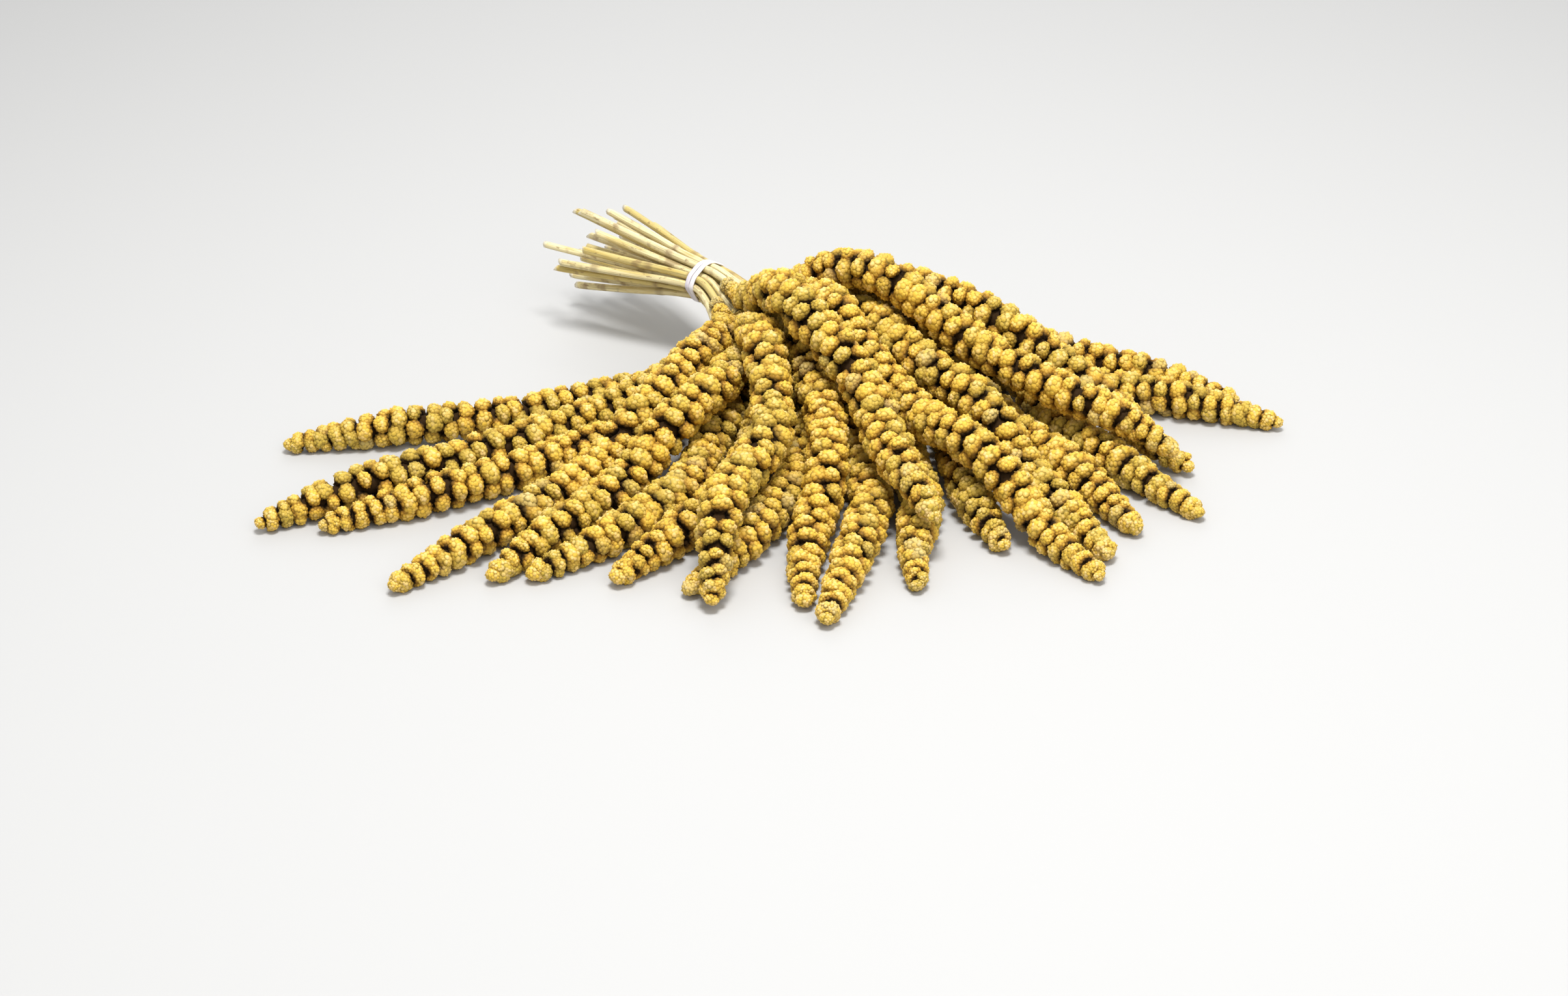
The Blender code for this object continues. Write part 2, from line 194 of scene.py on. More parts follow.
class Graph:
    """Short calls that add and join the nodes of one tree."""

    def __init__(self, tree: bpy.types.NodeTree) -> None:
        """Start on a tree."""
        self.tree = tree

    @classmethod
    def group(cls, name: str, tree_type: str, inputs: dict, outputs: dict) -> "Graph":
        """Start a node group with named sockets.

        Args:
            name: Name of the group.
            tree_type: Blender's name for the type of tree.
            inputs: Kind of each input and its default value, by name.
            outputs: Kind of each output, by name.

        Returns:
            The graph, whose ends are in the attributes start and end.
        """
        tree = bpy.data.node_groups.new(name, tree_type)
        for socket, (kind, default) in inputs.items():
            made = tree.interface.new_socket(name=socket, in_out="INPUT", socket_type=kind.value)
            if default is not None:
                made.default_value = default
        for socket, kind in outputs.items():
            tree.interface.new_socket(name=socket, in_out="OUTPUT", socket_type=kind.value)
        graph = cls(tree)
        graph.start = tree.nodes.new("NodeGroupInput").outputs
        graph.end = tree.nodes.new("NodeGroupOutput").inputs
        return graph

    def add(self, node_type: str, inputs: dict | None = None, **settings) -> bpy.types.Node:
        """Add a node.

        Args:
            node_type: Blender's name for the type of node.
            inputs: Value or source socket of each input, by name or number.
            **settings: Options of the node.

        Returns:
            The new node.
        """
        node = self.tree.nodes.new(node_type)
        for name, value in settings.items():
            setattr(node, name, value)
        for key, value in (inputs or {}).items():
            self.fill(node.inputs[key], value)
        return node

    def fill(self, socket: Socket, value: object) -> None:
        """Give a socket a value, or join it to another socket.

        Args:
            socket: The socket.
            value: The value, or the socket that it comes from.
        """
        if isinstance(value, bpy.types.NodeSocket):
            self.tree.links.new(value, socket)
        else:
            socket.default_value = value

    def math(self, operation: str, *values: object, clamp: bool = False) -> Socket:
        """Result of a sum on numbers."""
        node = self.add("ShaderNodeMath", dict(enumerate(values)), operation=operation, use_clamp=clamp)
        return node.outputs[0]

    def product(self, *factors: object) -> Socket:
        """Numbers multiplied with each other."""
        return reduce(lambda first, second: self.math("MULTIPLY", first, second), factors)

    def vector(self, operation: str, *values: object) -> Socket:
        """Result of a sum on vectors."""
        return self.add("ShaderNodeVectorMath", dict(enumerate(values)), operation=operation).outputs[0]

    def scale(self, vector: object, factor: object) -> Socket:
        """A vector times a number."""
        return self.add("ShaderNodeVectorMath", {0: vector, 3: factor}, operation="SCALE").outputs[0]

    def turned(self, angle: Socket, first: Socket, second: Socket) -> Socket:
        """The first direction, turned by an angle towards the second one."""
        parts = (self.scale(first, self.math("COSINE", angle)), self.scale(second, self.math("SINE", angle)))
        return self.vector("ADD", *parts)

    def ease(self, value: Socket, step: Ease) -> Socket:
        """A smooth step as a value rises."""
        inputs = {0: value, 1: step.low, 2: step.high, 3: step.start, 4: step.end}
        return self.add("ShaderNodeMapRange", inputs, interpolation_type="SMOOTHSTEP").outputs[0]

    def rise(self, value: Socket, slope: Slope, clamp: bool = False) -> Socket:
        """A straight rise with a value."""
        return self.math("MULTIPLY_ADD", value, slope.gain, slope.start, clamp=clamp)

    def between(self, factor: Socket, first: Socket, second: Socket) -> Socket:
        """Vector between two vectors."""
        node = self.add("ShaderNodeMix", {0: factor, 4: first, 5: second}, data_type="VECTOR")
        return node.outputs[1]

    def layered(self, ground: Colour, layers: Iterable[tuple[Socket, Colour]]) -> Socket:
        """Colours that lie over a ground, one over another.

        Args:
            ground: The ground's colour.
            layers: How much of each layer shows and its colour, from the lowest one up.

        Returns:
            The colour that shows.
        """
        shown = ground
        for share, colour in layers:
            node = self.add("ShaderNodeMix", {0: share, 6: shown, 7: colour}, data_type="RGBA")
            shown = node.outputs[2]
        return shown

    def attribute(self, name: str, output: str = "Fac") -> Socket:
        """What a mesh keeps under a name."""
        return self.add("ShaderNodeAttribute", attribute_name=name).outputs[output]

    def bump(self, height: Socket, relief: Relief, **under: Socket) -> Socket:
        """Normal of a surface with small bumps, and with the bumps under them if any are given."""
        inputs = {"Strength": relief.strength, "Distance": relief.height, "Height": height}
        return self.add("ShaderNodeBump", inputs | under).outputs[0]


@dataclass(frozen=True)
class CentreLine:
    """The line along the middle of a stalk or head, with the radius at each of its points."""

    points: np.ndarray
    radii: np.ndarray

    def heading_at_end(self) -> np.ndarray:
        """Direction in which the line ends."""
        return unit(self.points[-1] - self.points[-END_POINTS])

    def rows(self, pitch: float, smallest: float, before_tip: float) -> "CentreLine":
        """Points for the rows of lobes, nearer to each other where the head is thinner.

        The first row lies half a pitch from the base. The last point stands for the lobe at the
        tip, and lies one radius before the end.

        Args:
            pitch: Distance between two rows where the head is thickest.
            smallest: Share of that distance where the head is thinnest.
            before_tip: Share of a row's pitch between the last row and the tip's lobe.

        Returns:
            The line through the rows and the tip's lobe.
        """
        share = smallest + (1 - smallest) * self.radii / self.radii.max()
        along = self.distances()
        steps = np.diff(along) * 2 / (pitch * (share[1:] + share[:-1]))
        passed = np.concatenate(([0.0], np.cumsum(steps)))
        at_tip = np.interp(along[-1] - self.radii[-1], along, passed)
        count = max(FEWEST_ROWS, round(at_tip - 0.5))
        wanted = np.append(np.arange(count) + 0.5, count - 0.5 + before_tip)
        places = np.interp(wanted / wanted[-1] * at_tip, passed, along)
        return CentreLine(points_at(places, along, self.points), np.interp(places, along, self.radii))

    def at_x(self, x: float) -> np.ndarray:
        """Point at which the line passes a plane across the bundle."""
        return points_at(x, self.points[:, 0], self.points)

    def frames(self) -> tuple[np.ndarray, np.ndarray, np.ndarray]:
        """Directions at each point, carried along without twist.

        Returns:
            The tangents, the sides and the tops, with a row for each point.
        """
        tangents = unit(np.gradient(self.points, axis=0))
        sides = np.zeros_like(tangents)
        side = np.array((0.0, 1.0, 0.0))
        for k, tangent in enumerate(tangents):
            side = unit(side - tangent * (side @ tangent))
            sides[k] = side
        return tangents, sides, np.cross(tangents, sides)

    def distances(self) -> np.ndarray:
        """Distance of each point along the line."""
        steps = np.linalg.norm(np.diff(self.points, axis=0), axis=1)
        return np.concatenate(([0.0], np.cumsum(steps)))


def triangle_shares(count: int) -> np.ndarray:
    """Shares of a triangle's corners at the middles of its equal parts.

    Args:
        count: Parts along each edge, so that the triangle has count times count parts.

    Returns:
        A row of three shares for each part.
    """
    places = []
    for a in range(count):
        for b in range(count - a):
            places.append(((a + 1 / 3) / count, (b + 1 / 3) / count))
            if a + b < count - 1:
                places.append(((a + 2 / 3) / count, (b + 2 / 3) / count))
    first, second = np.array(places).T
    return np.stack((first, second, 1 - first - second), axis=1)


def scatter(node: str) -> tuple[np.ndarray, np.ndarray]:
    """Spread points over a solid's surface.

    Args:
        node: Name of the frame's node.

    Returns:
        The points, and the area that each one stands for.
    """
    mesh = frame["nodes"][node].data
    mesh.calc_loop_triangles()
    places = np.array([vert.co for vert in mesh.vertices])
    corners = places[[list(triangle.vertices) for triangle in mesh.loop_triangles]]
    edges = corners - np.roll(corners, 1, axis=1)
    parts = np.ceil(np.linalg.norm(edges, axis=2).max(axis=1) / SAMPLE_SPACING).astype(int)
    area = np.linalg.norm(np.cross(edges[:, 0], edges[:, 1]), axis=1) / 2
    points = []
    areas = []
    for count in np.unique(parts):
        shares = triangle_shares(int(count))
        chosen = parts == count
        points.append(np.einsum("mk,nkj->nmj", shares, corners[chosen]).reshape(-1, 3))
        areas.append(np.repeat(area[chosen] / len(shares), len(shares)))
    return np.concatenate(points), np.concatenate(areas)


def smoothed(values: np.ndarray, rounds: int) -> np.ndarray:
    """Values evened out along a line, with the ends kept.

    Args:
        values: The numbers, or the points in rows.
        rounds: How often each value moves halfway to the middle of its neighbours.

    Returns:
        The new values.
    """
    for _ in range(rounds):
        inner = 0.5 * values[1:-1] + 0.25 * (values[:-2] + values[2:])
        values = np.concatenate((values[:1], inner, values[-1:]))
    return values


def follow(node: str, start: np.ndarray, heading: np.ndarray, step: float, window: float) -> CentreLine:
    """Follow the middle of a long thin solid from one end to the other.

    Args:
        node: Name of the frame's node.
        start: A point near the middle of the solid's first end.
        heading: Direction in which the solid leaves that end.
        step: Distance between the points of the line.
        window: How far along the solid the surface counts at each point.

    Returns:
        The centre line.
    """
    surface, areas = scatter(node)
    centre = np.array(start, dtype=float)
    heading = unit(np.array(heading, dtype=float))
    centres = []
    radii = []
    left = math.inf
    while left > step:
        offset = surface - centre
        ahead = offset @ heading
        aside = offset - ahead[:, None] * heading
        near = (np.abs(ahead) < WINDOWS_EACH_WAY * window) & (np.linalg.norm(aside, axis=1) < WIDEST)
        weight = areas * np.exp(-((ahead / window) ** 2)) * near
        shift = (aside * weight[:, None]).sum(axis=0) / weight.sum()
        centre = centre + shift
        if centres:
            heading = unit(HEADING_WEIGHT * heading + unit(centre - centres[-1]))
        slab = near & (np.abs(ahead) < window)
        radii.append(np.percentile(np.linalg.norm(aside[slab] - shift, axis=1), INSIDE_PERCENT))
        centres.append(centre)
        left = float(ahead[near].max())
        centre = centre + heading * step
    centres.append(centres[-1] + heading * max(left, step * LEAST_LAST_STEP))
    radii.append(radii[-1])
    girths = np.minimum(radii, GIRTH_LIMIT * np.median(radii))
    return CentreLine(smoothed(np.array(centres), CENTRE_ROUNDS), smoothed(girths, RADIUS_ROUNDS))


def plain_mesh(shape: bmesh.types.BMesh, name: str) -> bpy.types.Mesh:
    """Turn a bmesh into a smooth mesh whose faces point outwards.

    Args:
        shape: The bmesh, which is freed.
        name: Name of the mesh.

    Returns:
        The mesh.
    """
    bmesh.ops.recalc_face_normals(shape, faces=shape.faces)
    mesh = bpy.data.meshes.new(name)
    shape.to_mesh(mesh)
    shape.free()
    mesh.shade_smooth()
    return mesh


def ring_mesh(name: str, rings: list, closed: bool) -> bpy.types.Mesh:
    """Make a mesh from rings of points, each joined to the next one.

    Args:
        name: Name of the mesh.
        rings: Points of each ring, the same number in each.
        closed: Whether the last ring is joined to the first one. Otherwise both are filled.

    Returns:
        The mesh.
    """
    shape = bmesh.new()
    verts = [[shape.verts.new(place) for place in ring] for ring in rings]
    for lower, upper in zip(verts, verts[1:] + verts[:1] if closed else verts[1:]):
        for k, vert in enumerate(lower):
            j = (k + 1) % len(lower)
            shape.faces.new((vert, lower[j], upper[j], upper[k]))
    if not closed:
        shape.faces.new(verts[0])
        shape.faces.new(verts[-1])
    return plain_mesh(shape, name)


def store(mesh: bpy.types.Mesh, name: str, values: np.ndarray, domain: str = "POINT") -> None:
    """Keep numbers or vectors on a mesh, under a name that a material or node tree reads.

    Args:
        mesh: The mesh.
        name: Name that is read.
        values: The numbers, or the vectors in rows.
        domain: What the values belong to: the vertices, or else "CORNER" or "FACE".
    """
    if values.ndim == 1:
        attribute = mesh.attributes.new(name, "FLOAT", domain)
        attribute.data.foreach_set("value", values.astype(np.float32))
    else:
        attribute = mesh.attributes.new(name, "FLOAT_VECTOR", domain)
        attribute.data.foreach_set("vector", values.astype(np.float32).ravel())


def in_scene(name: str, data: bpy.types.ID) -> bpy.types.Object:
    """Put a new object into the scene.

    Args:
        name: Name of the object.
        data: Its mesh, light or camera.

    Returns:
        The object.
    """
    thing = bpy.data.objects.new(name, data)
    bpy.context.scene.collection.objects.link(thing)
    return thing


def settle_piece(piece: bpy.types.Object, nodes: list[str]) -> None:
    """Let a piece ride on the part and stand for its solids.

    Args:
        piece: The piece.
        nodes: Names of the frame's nodes that it stands for.
    """
    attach(piece, BODY)
    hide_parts(*nodes)
    LOG.info("%s: %d faces, stands for %s", piece.name, len(piece.data.polygons), ", ".join(nodes))


class Groups:
    """The effects of the finishes, each a shader node group."""

    NOISE_DETAIL = 3.0
    NOISE_ROUGHNESS = 0.55
    GRAIN_RANDOMNESS = 0.8

    def __init__(self) -> None:
        """Build each group once."""
        self.mottle = self.build_mottle()
        self.grains = self.build_grains()

    def build_mottle(self) -> bpy.types.NodeTree:
        """Soft blotches.

        Returns:
            A group with a value from 0 to 1 that drifts over a surface.
        """
        graph = Graph.group(
            "mottle", "ShaderNodeTree",
            {"Place": (Kind.VECTOR, None), "Fineness": (Kind.NUMBER, 100.0), "Contrast": (Kind.NUMBER, 1.0)},
            {"Value": Kind.NUMBER})
        noise = graph.add(
            "ShaderNodeTexNoise",
            {"Vector": graph.start["Place"], "Scale": graph.start["Fineness"],
             "Detail": self.NOISE_DETAIL, "Roughness": self.NOISE_ROUGHNESS})
        centred = graph.math("SUBTRACT", noise.outputs["Fac"], 0.5)
        spread = graph.product(centred, graph.start["Contrast"])
        graph.fill(graph.end["Value"], graph.math("ADD", spread, 0.5, clamp=True))
        return graph.tree

    def build_grains(self) -> bpy.types.NodeTree:
        """Small round grains.

        Returns:
            A group with their height, and a shade that changes from grain to grain.
        """
        graph = Graph.group(
            "grains", "ShaderNodeTree",
            {"Place": (Kind.VECTOR, None), "Fineness": (Kind.NUMBER, 600.0)},
            {"Height": Kind.NUMBER, "Shade": Kind.NUMBER})
        cells = graph.add(
            "ShaderNodeTexVoronoi",
            {"Vector": graph.start["Place"], "Scale": graph.start["Fineness"],
             "Randomness": self.GRAIN_RANDOMNESS})
        square = graph.math("POWER", cells.outputs["Distance"], 2.0)
        graph.fill(graph.end["Height"], graph.math("SUBTRACT", 1.0, square, clamp=True))
        parts = graph.add("ShaderNodeSeparateColor", {0: cells.outputs["Color"]})
        graph.fill(graph.end["Shade"], parts.outputs[0])
        return graph.tree

    @staticmethod
    def use(graph: Graph, group: bpy.types.NodeTree, **inputs: object) -> bpy.types.NodeOutputs:
        """Place a group in a material.

        Args:
            graph: The material's nodes.
            group: The group to place.
            **inputs: Value or source of each input.

        Returns:
            The group's outputs.
        """
        node = graph.tree.nodes.new("ShaderNodeGroup")
        node.node_tree = group
        for name, value in inputs.items():
            graph.fill(node.inputs[name], value)
        return node.outputs

    def blotches(self, graph: Graph, place: Socket, look: Mottle) -> Socket:
        """Blotches in a material, drawn out along the third axis of its places.

        Args:
            graph: The material's nodes.
            place: Where each point of the surface lies.
            look: What the blotches are like.

        Returns:
            A value from 0 to 1.
        """
        drawn = graph.vector("MULTIPLY", place, (1.0, 1.0, look.along))
        made = self.use(graph, self.mottle, Place=drawn, Fineness=look.per_metre, Contrast=look.contrast)
        return made["Value"]


class Skin:
    """A new material with its nodes."""

    def __init__(self, name: str) -> None:
        """Start the material."""
        self.material = bpy.data.materials.new(name)
        self.material.use_nodes = True
        self.graph = Graph(self.material.node_tree)

    def dress(self, values: dict[str, object]) -> bpy.types.Material:
        """Fill the inputs of the material's shader.

        Args:
            values: Value or source of each input, by name.

        Returns:
            The material.
        """
        shader = self.material.node_tree.nodes["Principled BSDF"]
        for name, value in values.items():
            self.graph.fill(shader.inputs[name], value)
        return self.material


@dataclass(frozen=True)
class MilletFinish:
    """Dry golden seed clusters, some still grey-green, with painted highlights on their tops and painted
    shade, brown to near black, where they meet and in the creases between their seeds.

    Each step with a name that ends in out goes by the depth, which is 0 at the middle of the head
    and 1 at its outline. Each that ends in top goes from the crease round a seed to its top.
    """

    # Near black: the husk inside, and painted shade deep in the head and between the lobes
    husk_and_shade: Colour = (0.030, 0.014, 0.003, 1.0)
    # Painted shade: brown where the lobes meet
    crevice_shade: Colour = (0.36, 0.18, 0.020, 1.0)
    gold: Colour = (0.74, 0.468, 0.058, 1.0)
    olive: Colour = (0.44, 0.33, 0.055, 1.0)
    # Painted highlight on the tops of the outer seeds
    pale: Colour = (0.84, 0.60, 0.26, 1.0)
    green: Colour = (0.50, 0.42, 0.20, 1.0)
    # Painted shade by depth: brown over the near black, and the gold only near the outline
    crevice_shade_out: Ease = Ease(0.62, 0.82)
    gold_out: Ease = Ease(0.77, 0.97)
    olive_by_tint: Ease = Ease(0.35, 1.0, 0.6)
    olive_out: Ease = Ease(0.6, 0.8)
    painted_highlight_top: Ease = Ease(-0.4, 0.8)
    painted_highlight_out: Ease = Ease(0.86, 1.04)
    painted_highlight_by_grain: Ease = Ease(0.1, 1.0)
    painted_highlight_by_blotch: Slope = Slope(0.4, 0.7)
    green_by_grain: Slope = Slope(0.4, 0.5)
    green_out: Ease = Ease(0.6, 0.85)
    # Painted shade between the fine grains and in the creases round each seed
    painted_shade_by_height: Slope = Slope(0.75, 0.25)
    painted_shade_top: Ease = Ease(0.0, 0.35, end=1.0, start=0.55)
    roughness: Slope = Slope(0.40, 0.20)
    dull_out: Ease = Ease(0.55, 0.85, end=0.0, start=0.4)
    specular: float = 0.16
    grains_per_metre: float = 900.0
    blotches: Mottle = Mottle(60.0, 2.0)
    seed_relief: Relief = Relief(0.0006, 0.9)
    grain_relief: Relief = Relief(0.0002, 0.6)

    def layers(self, graph: Graph, depth: Socket, top: Socket, blotch: Socket) -> list:
        """Colours that lie over the near black of the husk, which is also painted shade deep in the head.

        Args:
            graph: The material's nodes.
            depth: How far out each point lies.
            top: How near each point lies to its seed's top.
            blotch: Soft blotches.

        Returns:
            How much of each layer shows and its colour, from the lowest one up.
        """
        grain = graph.attribute("grain")
        olive = graph.product(
            graph.ease(graph.attribute("tint"), self.olive_by_tint), graph.ease(depth, self.olive_out))
        # Painted highlight: pale on the tops of the outer seeds, varied from grain to grain and by blotches
        pale = graph.product(
            graph.ease(top, self.painted_highlight_top), graph.ease(depth, self.painted_highlight_out),
            graph.ease(grain, self.painted_highlight_by_grain), graph.rise(blotch, self.painted_highlight_by_blotch, clamp=True))
        green = graph.product(
            graph.attribute("unripe"), graph.rise(grain, self.green_by_grain),
            graph.ease(depth, self.green_out))
        return [
            # Painted shade: brown, then near black deeper in, where the gold of the outline gives way
            (graph.ease(depth, self.crevice_shade_out), self.crevice_shade),
            (graph.ease(depth, self.gold_out), self.gold),
            (olive, self.olive),
            (pale, self.pale),
            (green, self.green),
        ]

    def build(self, groups: Groups) -> bpy.types.Material:
        """Build the material.

        Args:
            groups: The effects that it uses.

        Returns:
            The material.
        """
        skin = Skin("millet seed")
        graph = skin.graph
        place = graph.add("ShaderNodeTexCoord").outputs["Object"]
        grains = groups.use(graph, groups.grains, Place=place, Fineness=self.grains_per_metre)
        depth = graph.attribute("depth")
        from_top = graph.attribute("from top", "Vector")
        away = graph.add("ShaderNodeVectorMath", {0: from_top}, operation="LENGTH").outputs["Value"]
        top = graph.math("SUBTRACT", 1.0, away, clamp=True)
        layers = self.layers(graph, depth, top, groups.blotches(graph, place, self.blotches))
        # Painted shade: darker between the fine grains and in the creases round each seed
        shade = graph.product(
            graph.rise(grains["Height"], self.painted_shade_by_height), graph.ease(top, self.painted_shade_top))
        colour = graph.add(
            "ShaderNodeHueSaturation", {"Value": shade, "Color": graph.layered(self.husk_and_shade, layers)})
        dry = graph.rise(grains["Shade"], self.roughness)
        domes = graph.math("SUBTRACT", 1.0, graph.math("POWER", away, 2.0))
        seeds = graph.bump(domes, self.seed_relief)
        return skin.dress({
            "Base Color": colour.outputs[0],
            "Roughness": graph.math("ADD", dry, graph.ease(depth, self.dull_out), clamp=True),
            "Specular IOR Level": self.specular,
            "Normal": graph.bump(grains["Height"], self.grain_relief, Normal=seeds),
        })


@dataclass(frozen=True)
class StrawFinish:
    """Dry pale straw with fine lengthwise fibres, yellow stretches, specks and darker joints, and painted
    shade on the floor of each hollow cut end.
    """

    cream: Colour = (0.74, 0.64, 0.36, 1.0)
    yellow: Colour = (0.56, 0.43, 0.13, 1.0)
    amber: Colour = (0.50, 0.35, 0.07, 1.0)
    olive: Colour = (0.24, 0.20, 0.06, 1.0)
    brown: Colour = (0.19, 0.10, 0.035, 1.0)
    pith: Colour = (0.84, 0.77, 0.62, 1.0)
    fibres: Mottle = Mottle(1600.0, 2.2, 0.02)
    stretches: Mottle = Mottle(230.0, 3.0, 0.12)
    stains: Mottle = Mottle(70.0, 3.0)
    specks: Mottle = Mottle(380.0, 2.7, 0.45)
    yellow_by_tint: Ease = Ease(0.2, 1.0)
    amber_stretch: Ease = Ease(0.50, 0.95, 0.65)
    olive_fibre: Ease = Ease(0.50, 0.90, 0.6)
    brown_stain: Ease = Ease(0.62, 0.98, 0.6)
    brown_speck: Ease = Ease(0.78, 1.05, 0.7)
    # Brown at the joints, and painted shade on the floor of the hollow cut end
    brown_joint_and_hollow_shade: float = 0.7
    pith_share: float = 0.7
    pith_end: Ease = Ease(0.0, 0.004)
    roughness: Slope = Slope(0.30, 0.25)
    fibre_relief: Relief = Relief(0.0002, 0.7)

    def build(self, groups: Groups) -> bpy.types.Material:
        """Build the material.

        Args:
            groups: The effects that it uses.

        Returns:
            The material.
        """
        skin = Skin("dry straw")
        graph = skin.graph
        place = graph.attribute("own_place", "Vector")
        fibres = groups.blotches(graph, place, self.fibres)
        along = graph.add("ShaderNodeSeparateXYZ", {0: place}).outputs[2]
        pith = graph.math("SUBTRACT", self.pith_share, graph.ease(along, self.pith_end), clamp=True)
        colour = graph.layered(self.cream, [
            (graph.ease(graph.attribute("tint"), self.yellow_by_tint), self.yellow),
            (graph.ease(groups.blotches(graph, place, self.stretches), self.amber_stretch), self.amber),
            (graph.ease(fibres, self.olive_fibre), self.olive),
            (graph.ease(groups.blotches(graph, place, self.stains), self.brown_stain), self.brown),
            (graph.ease(groups.blotches(graph, place, self.specks), self.brown_speck), self.brown),
            # Darker joints, and painted shade on the floor of the hollow cut end
            (graph.product(graph.attribute("joint"), self.brown_joint_and_hollow_shade), self.brown),
            (pith, self.pith),
        ])
        return skin.dress({
            "Base Color": colour,
            "Roughness": graph.rise(fibres, self.roughness),
            "Normal": graph.bump(fibres, self.fibre_relief),
        })


@dataclass(frozen=True)
class BandFinish:
    """Soft white band with fine lengthwise lines and dirt, and painted shade that greys the strand lying
    towards -x.
    """

    white: Colour = (0.76, 0.73, 0.75, 1.0)
    grey: Colour = (0.44, 0.39, 0.47, 1.0)
    lines: Mottle = Mottle(2200.0, 1.6, 0.05)
    dirt: Mottle = Mottle(240.0, 2.0)
    # Painted shade on the strand that lies towards -x
    shaded_strand_grey: Ease = Ease(0.3, 1.0, 0.45)
    grey_line: Ease = Ease(0.5, 1.0, 0.6)
    grey_dirt: Ease = Ease(0.6, 1.0, 0.4)
    roughness: Slope = Slope(0.28, 0.20)
    line_relief: Relief = Relief(0.00012, 0.6)

    def build(self, groups: Groups) -> bpy.types.Material:
        """Build the material.

        Args:
            groups: The effects that it uses.

        Returns:
            The material.
        """
        skin = Skin("white band")
        graph = skin.graph
        place = graph.attribute("own_place", "Vector")
        lines = groups.blotches(graph, place, self.lines)
        dirt = groups.blotches(graph, place, self.dirt)
        colour = graph.layered(self.white, [
            # Painted shade on the strand that lies towards -x
            (graph.ease(graph.attribute("strand"), self.shaded_strand_grey), self.grey),
            (graph.ease(lines, self.grey_line), self.grey),
            (graph.ease(dirt, self.grey_dirt), self.grey),
        ])
        return skin.dress({
            "Base Color": colour,
            "Roughness": graph.rise(dirt, self.roughness),
            "Normal": graph.bump(lines, self.line_relief),
        })


@dataclass(frozen=True)
class SeedCluster:
    """One lobe of a head, one unit wide: a rounded cluster of grains that points along +Z.

    The head's tip lies along its +X, where it is a little flatter. Each grain is one raised point
    between shared low points, so that a cluster keeps to few faces.
    """

    number: int
    grains: int = 42
    lowest: float = -0.20
    half_sizes: tuple = (0.43, 0.50, 0.50)
    crevice: float = 0.105
    wander: float = 0.09
    unevenness: float = 0.045
    root: float = 0.55
    lumps: int = 5
    farthest: float = 1.07
    lump_places: tuple = (0.20, 0.42)
    hollow: float = 0.88

    @property
    def lump_place(self) -> float:
        """How far the lumps lie from the middle: near it in a round cluster, farther in a lumpy one."""
        return self.lump_places[self.number % len(self.lump_places)]

    def directions(self, rng: np.random.Generator) -> np.ndarray:
        """Directions of the grains from the cluster's middle.

        Args:
            rng: Source of the random numbers.

        Returns:
            A row for each grain, and the root as the last one.
        """
        index = np.arange(self.grains)
        height = 1 - (index + 0.5) / self.grains * (1 - self.lowest)
        turn = index * math.pi * (3 - math.sqrt(5)) + self.number
        across = np.sqrt(1 - height**2)
        places = np.stack((across * np.cos(turn), across * np.sin(turn), height), axis=1)
        places += rng.normal(0.0, self.wander, places.shape)
        return unit(np.vstack((places, (0.0, 0.0, -1.0))))

    def swell(self, directions: np.ndarray, middles: np.ndarray) -> np.ndarray:
        """How far out the cluster reaches, as a few lumps that have grown together.

        Args:
            directions: Directions from the cluster's middle.
            middles: Middles of the lumps.

        Returns:
            The reach in each direction.
        """
        along = directions @ middles.T
        inside = (self.farthest - self.lump_place) ** 2 - self.lump_place**2
        return np.maximum((along + np.sqrt(along**2 + inside)).max(axis=1), self.hollow)

    def relief(self, directions: np.ndarray, reach: np.ndarray, middles: np.ndarray) -> bpy.types.Mesh:
        """Make the cluster's faces: two on each edge between neighbours, one for either grain.

        Args:
            directions: Directions of the grains and the root.
            reach: How far out each of them lies.
            middles: Middles of the lumps.

        Returns:
            The mesh, whose first vertices are the grains and the root.
        """
        hull = bmesh.new()
        for direction in directions:
            hull.verts.new(direction)
        bmesh.ops.convex_hull(hull, input=hull.verts)
        hull.verts.index_update()
        hull.faces.index_update()
        lows = unit(np.array([face.calc_center_median() for face in hull.faces]))
        lows = lows * (self.swell(lows, middles) - self.crevice)[:, None]
        relief = bmesh.new()
        half_sizes = Vector(self.half_sizes)
        places = np.vstack((directions * reach[:, None], lows))
        verts = [relief.verts.new(Vector(place) * half_sizes) for place in places]
        for edge in hull.edges:
            low_a, low_b = (verts[len(directions) + face.index] for face in edge.link_faces)
            for end in edge.verts:
                relief.faces.new((verts[end.index], low_a, low_b))
        hull.free()
        return plain_mesh(relief, f"cluster_{self.number}")

    def build(self) -> bpy.types.Object:
        """Make the cluster.

        Returns:
            The cluster, which isn't in the scene yet.
        """
        rng = np.random.default_rng(self.number)
        directions = self.directions(rng)
        middles = unit(directions[rng.choice(self.grains, self.lumps, replace=False)]) * self.lump_place
        uneven = 1 + rng.uniform(-self.unevenness, self.unevenness, len(directions))
        reach = self.swell(directions, middles) * uneven
        reach[-1] = self.root
        mesh = self.relief(directions, reach, middles)
        corners = np.array([loop.vertex_index for loop in mesh.loops]).reshape(-1, 3)
        grain = corners.min(axis=1)
        places = np.array([vert.co for vert in mesh.vertices])
        # Way from a grain's top to each corner of its faces, at about 1 for the low corners
        offsets = places[corners] - places[grain][:, None]
        offsets /= np.median(np.linalg.norm(offsets, axis=2).max(axis=1))
        # The root is no grain, so its faces count as low all over
        offsets[grain == self.grains] = (1.0, 0.0, 0.0)
        store(mesh, "from top", offsets.reshape(-1, 3), "CORNER")
        store(mesh, "grain", rng.uniform(0, 1, len(directions))[grain], "FACE")
        return bpy.data.objects.new(mesh.name, mesh)


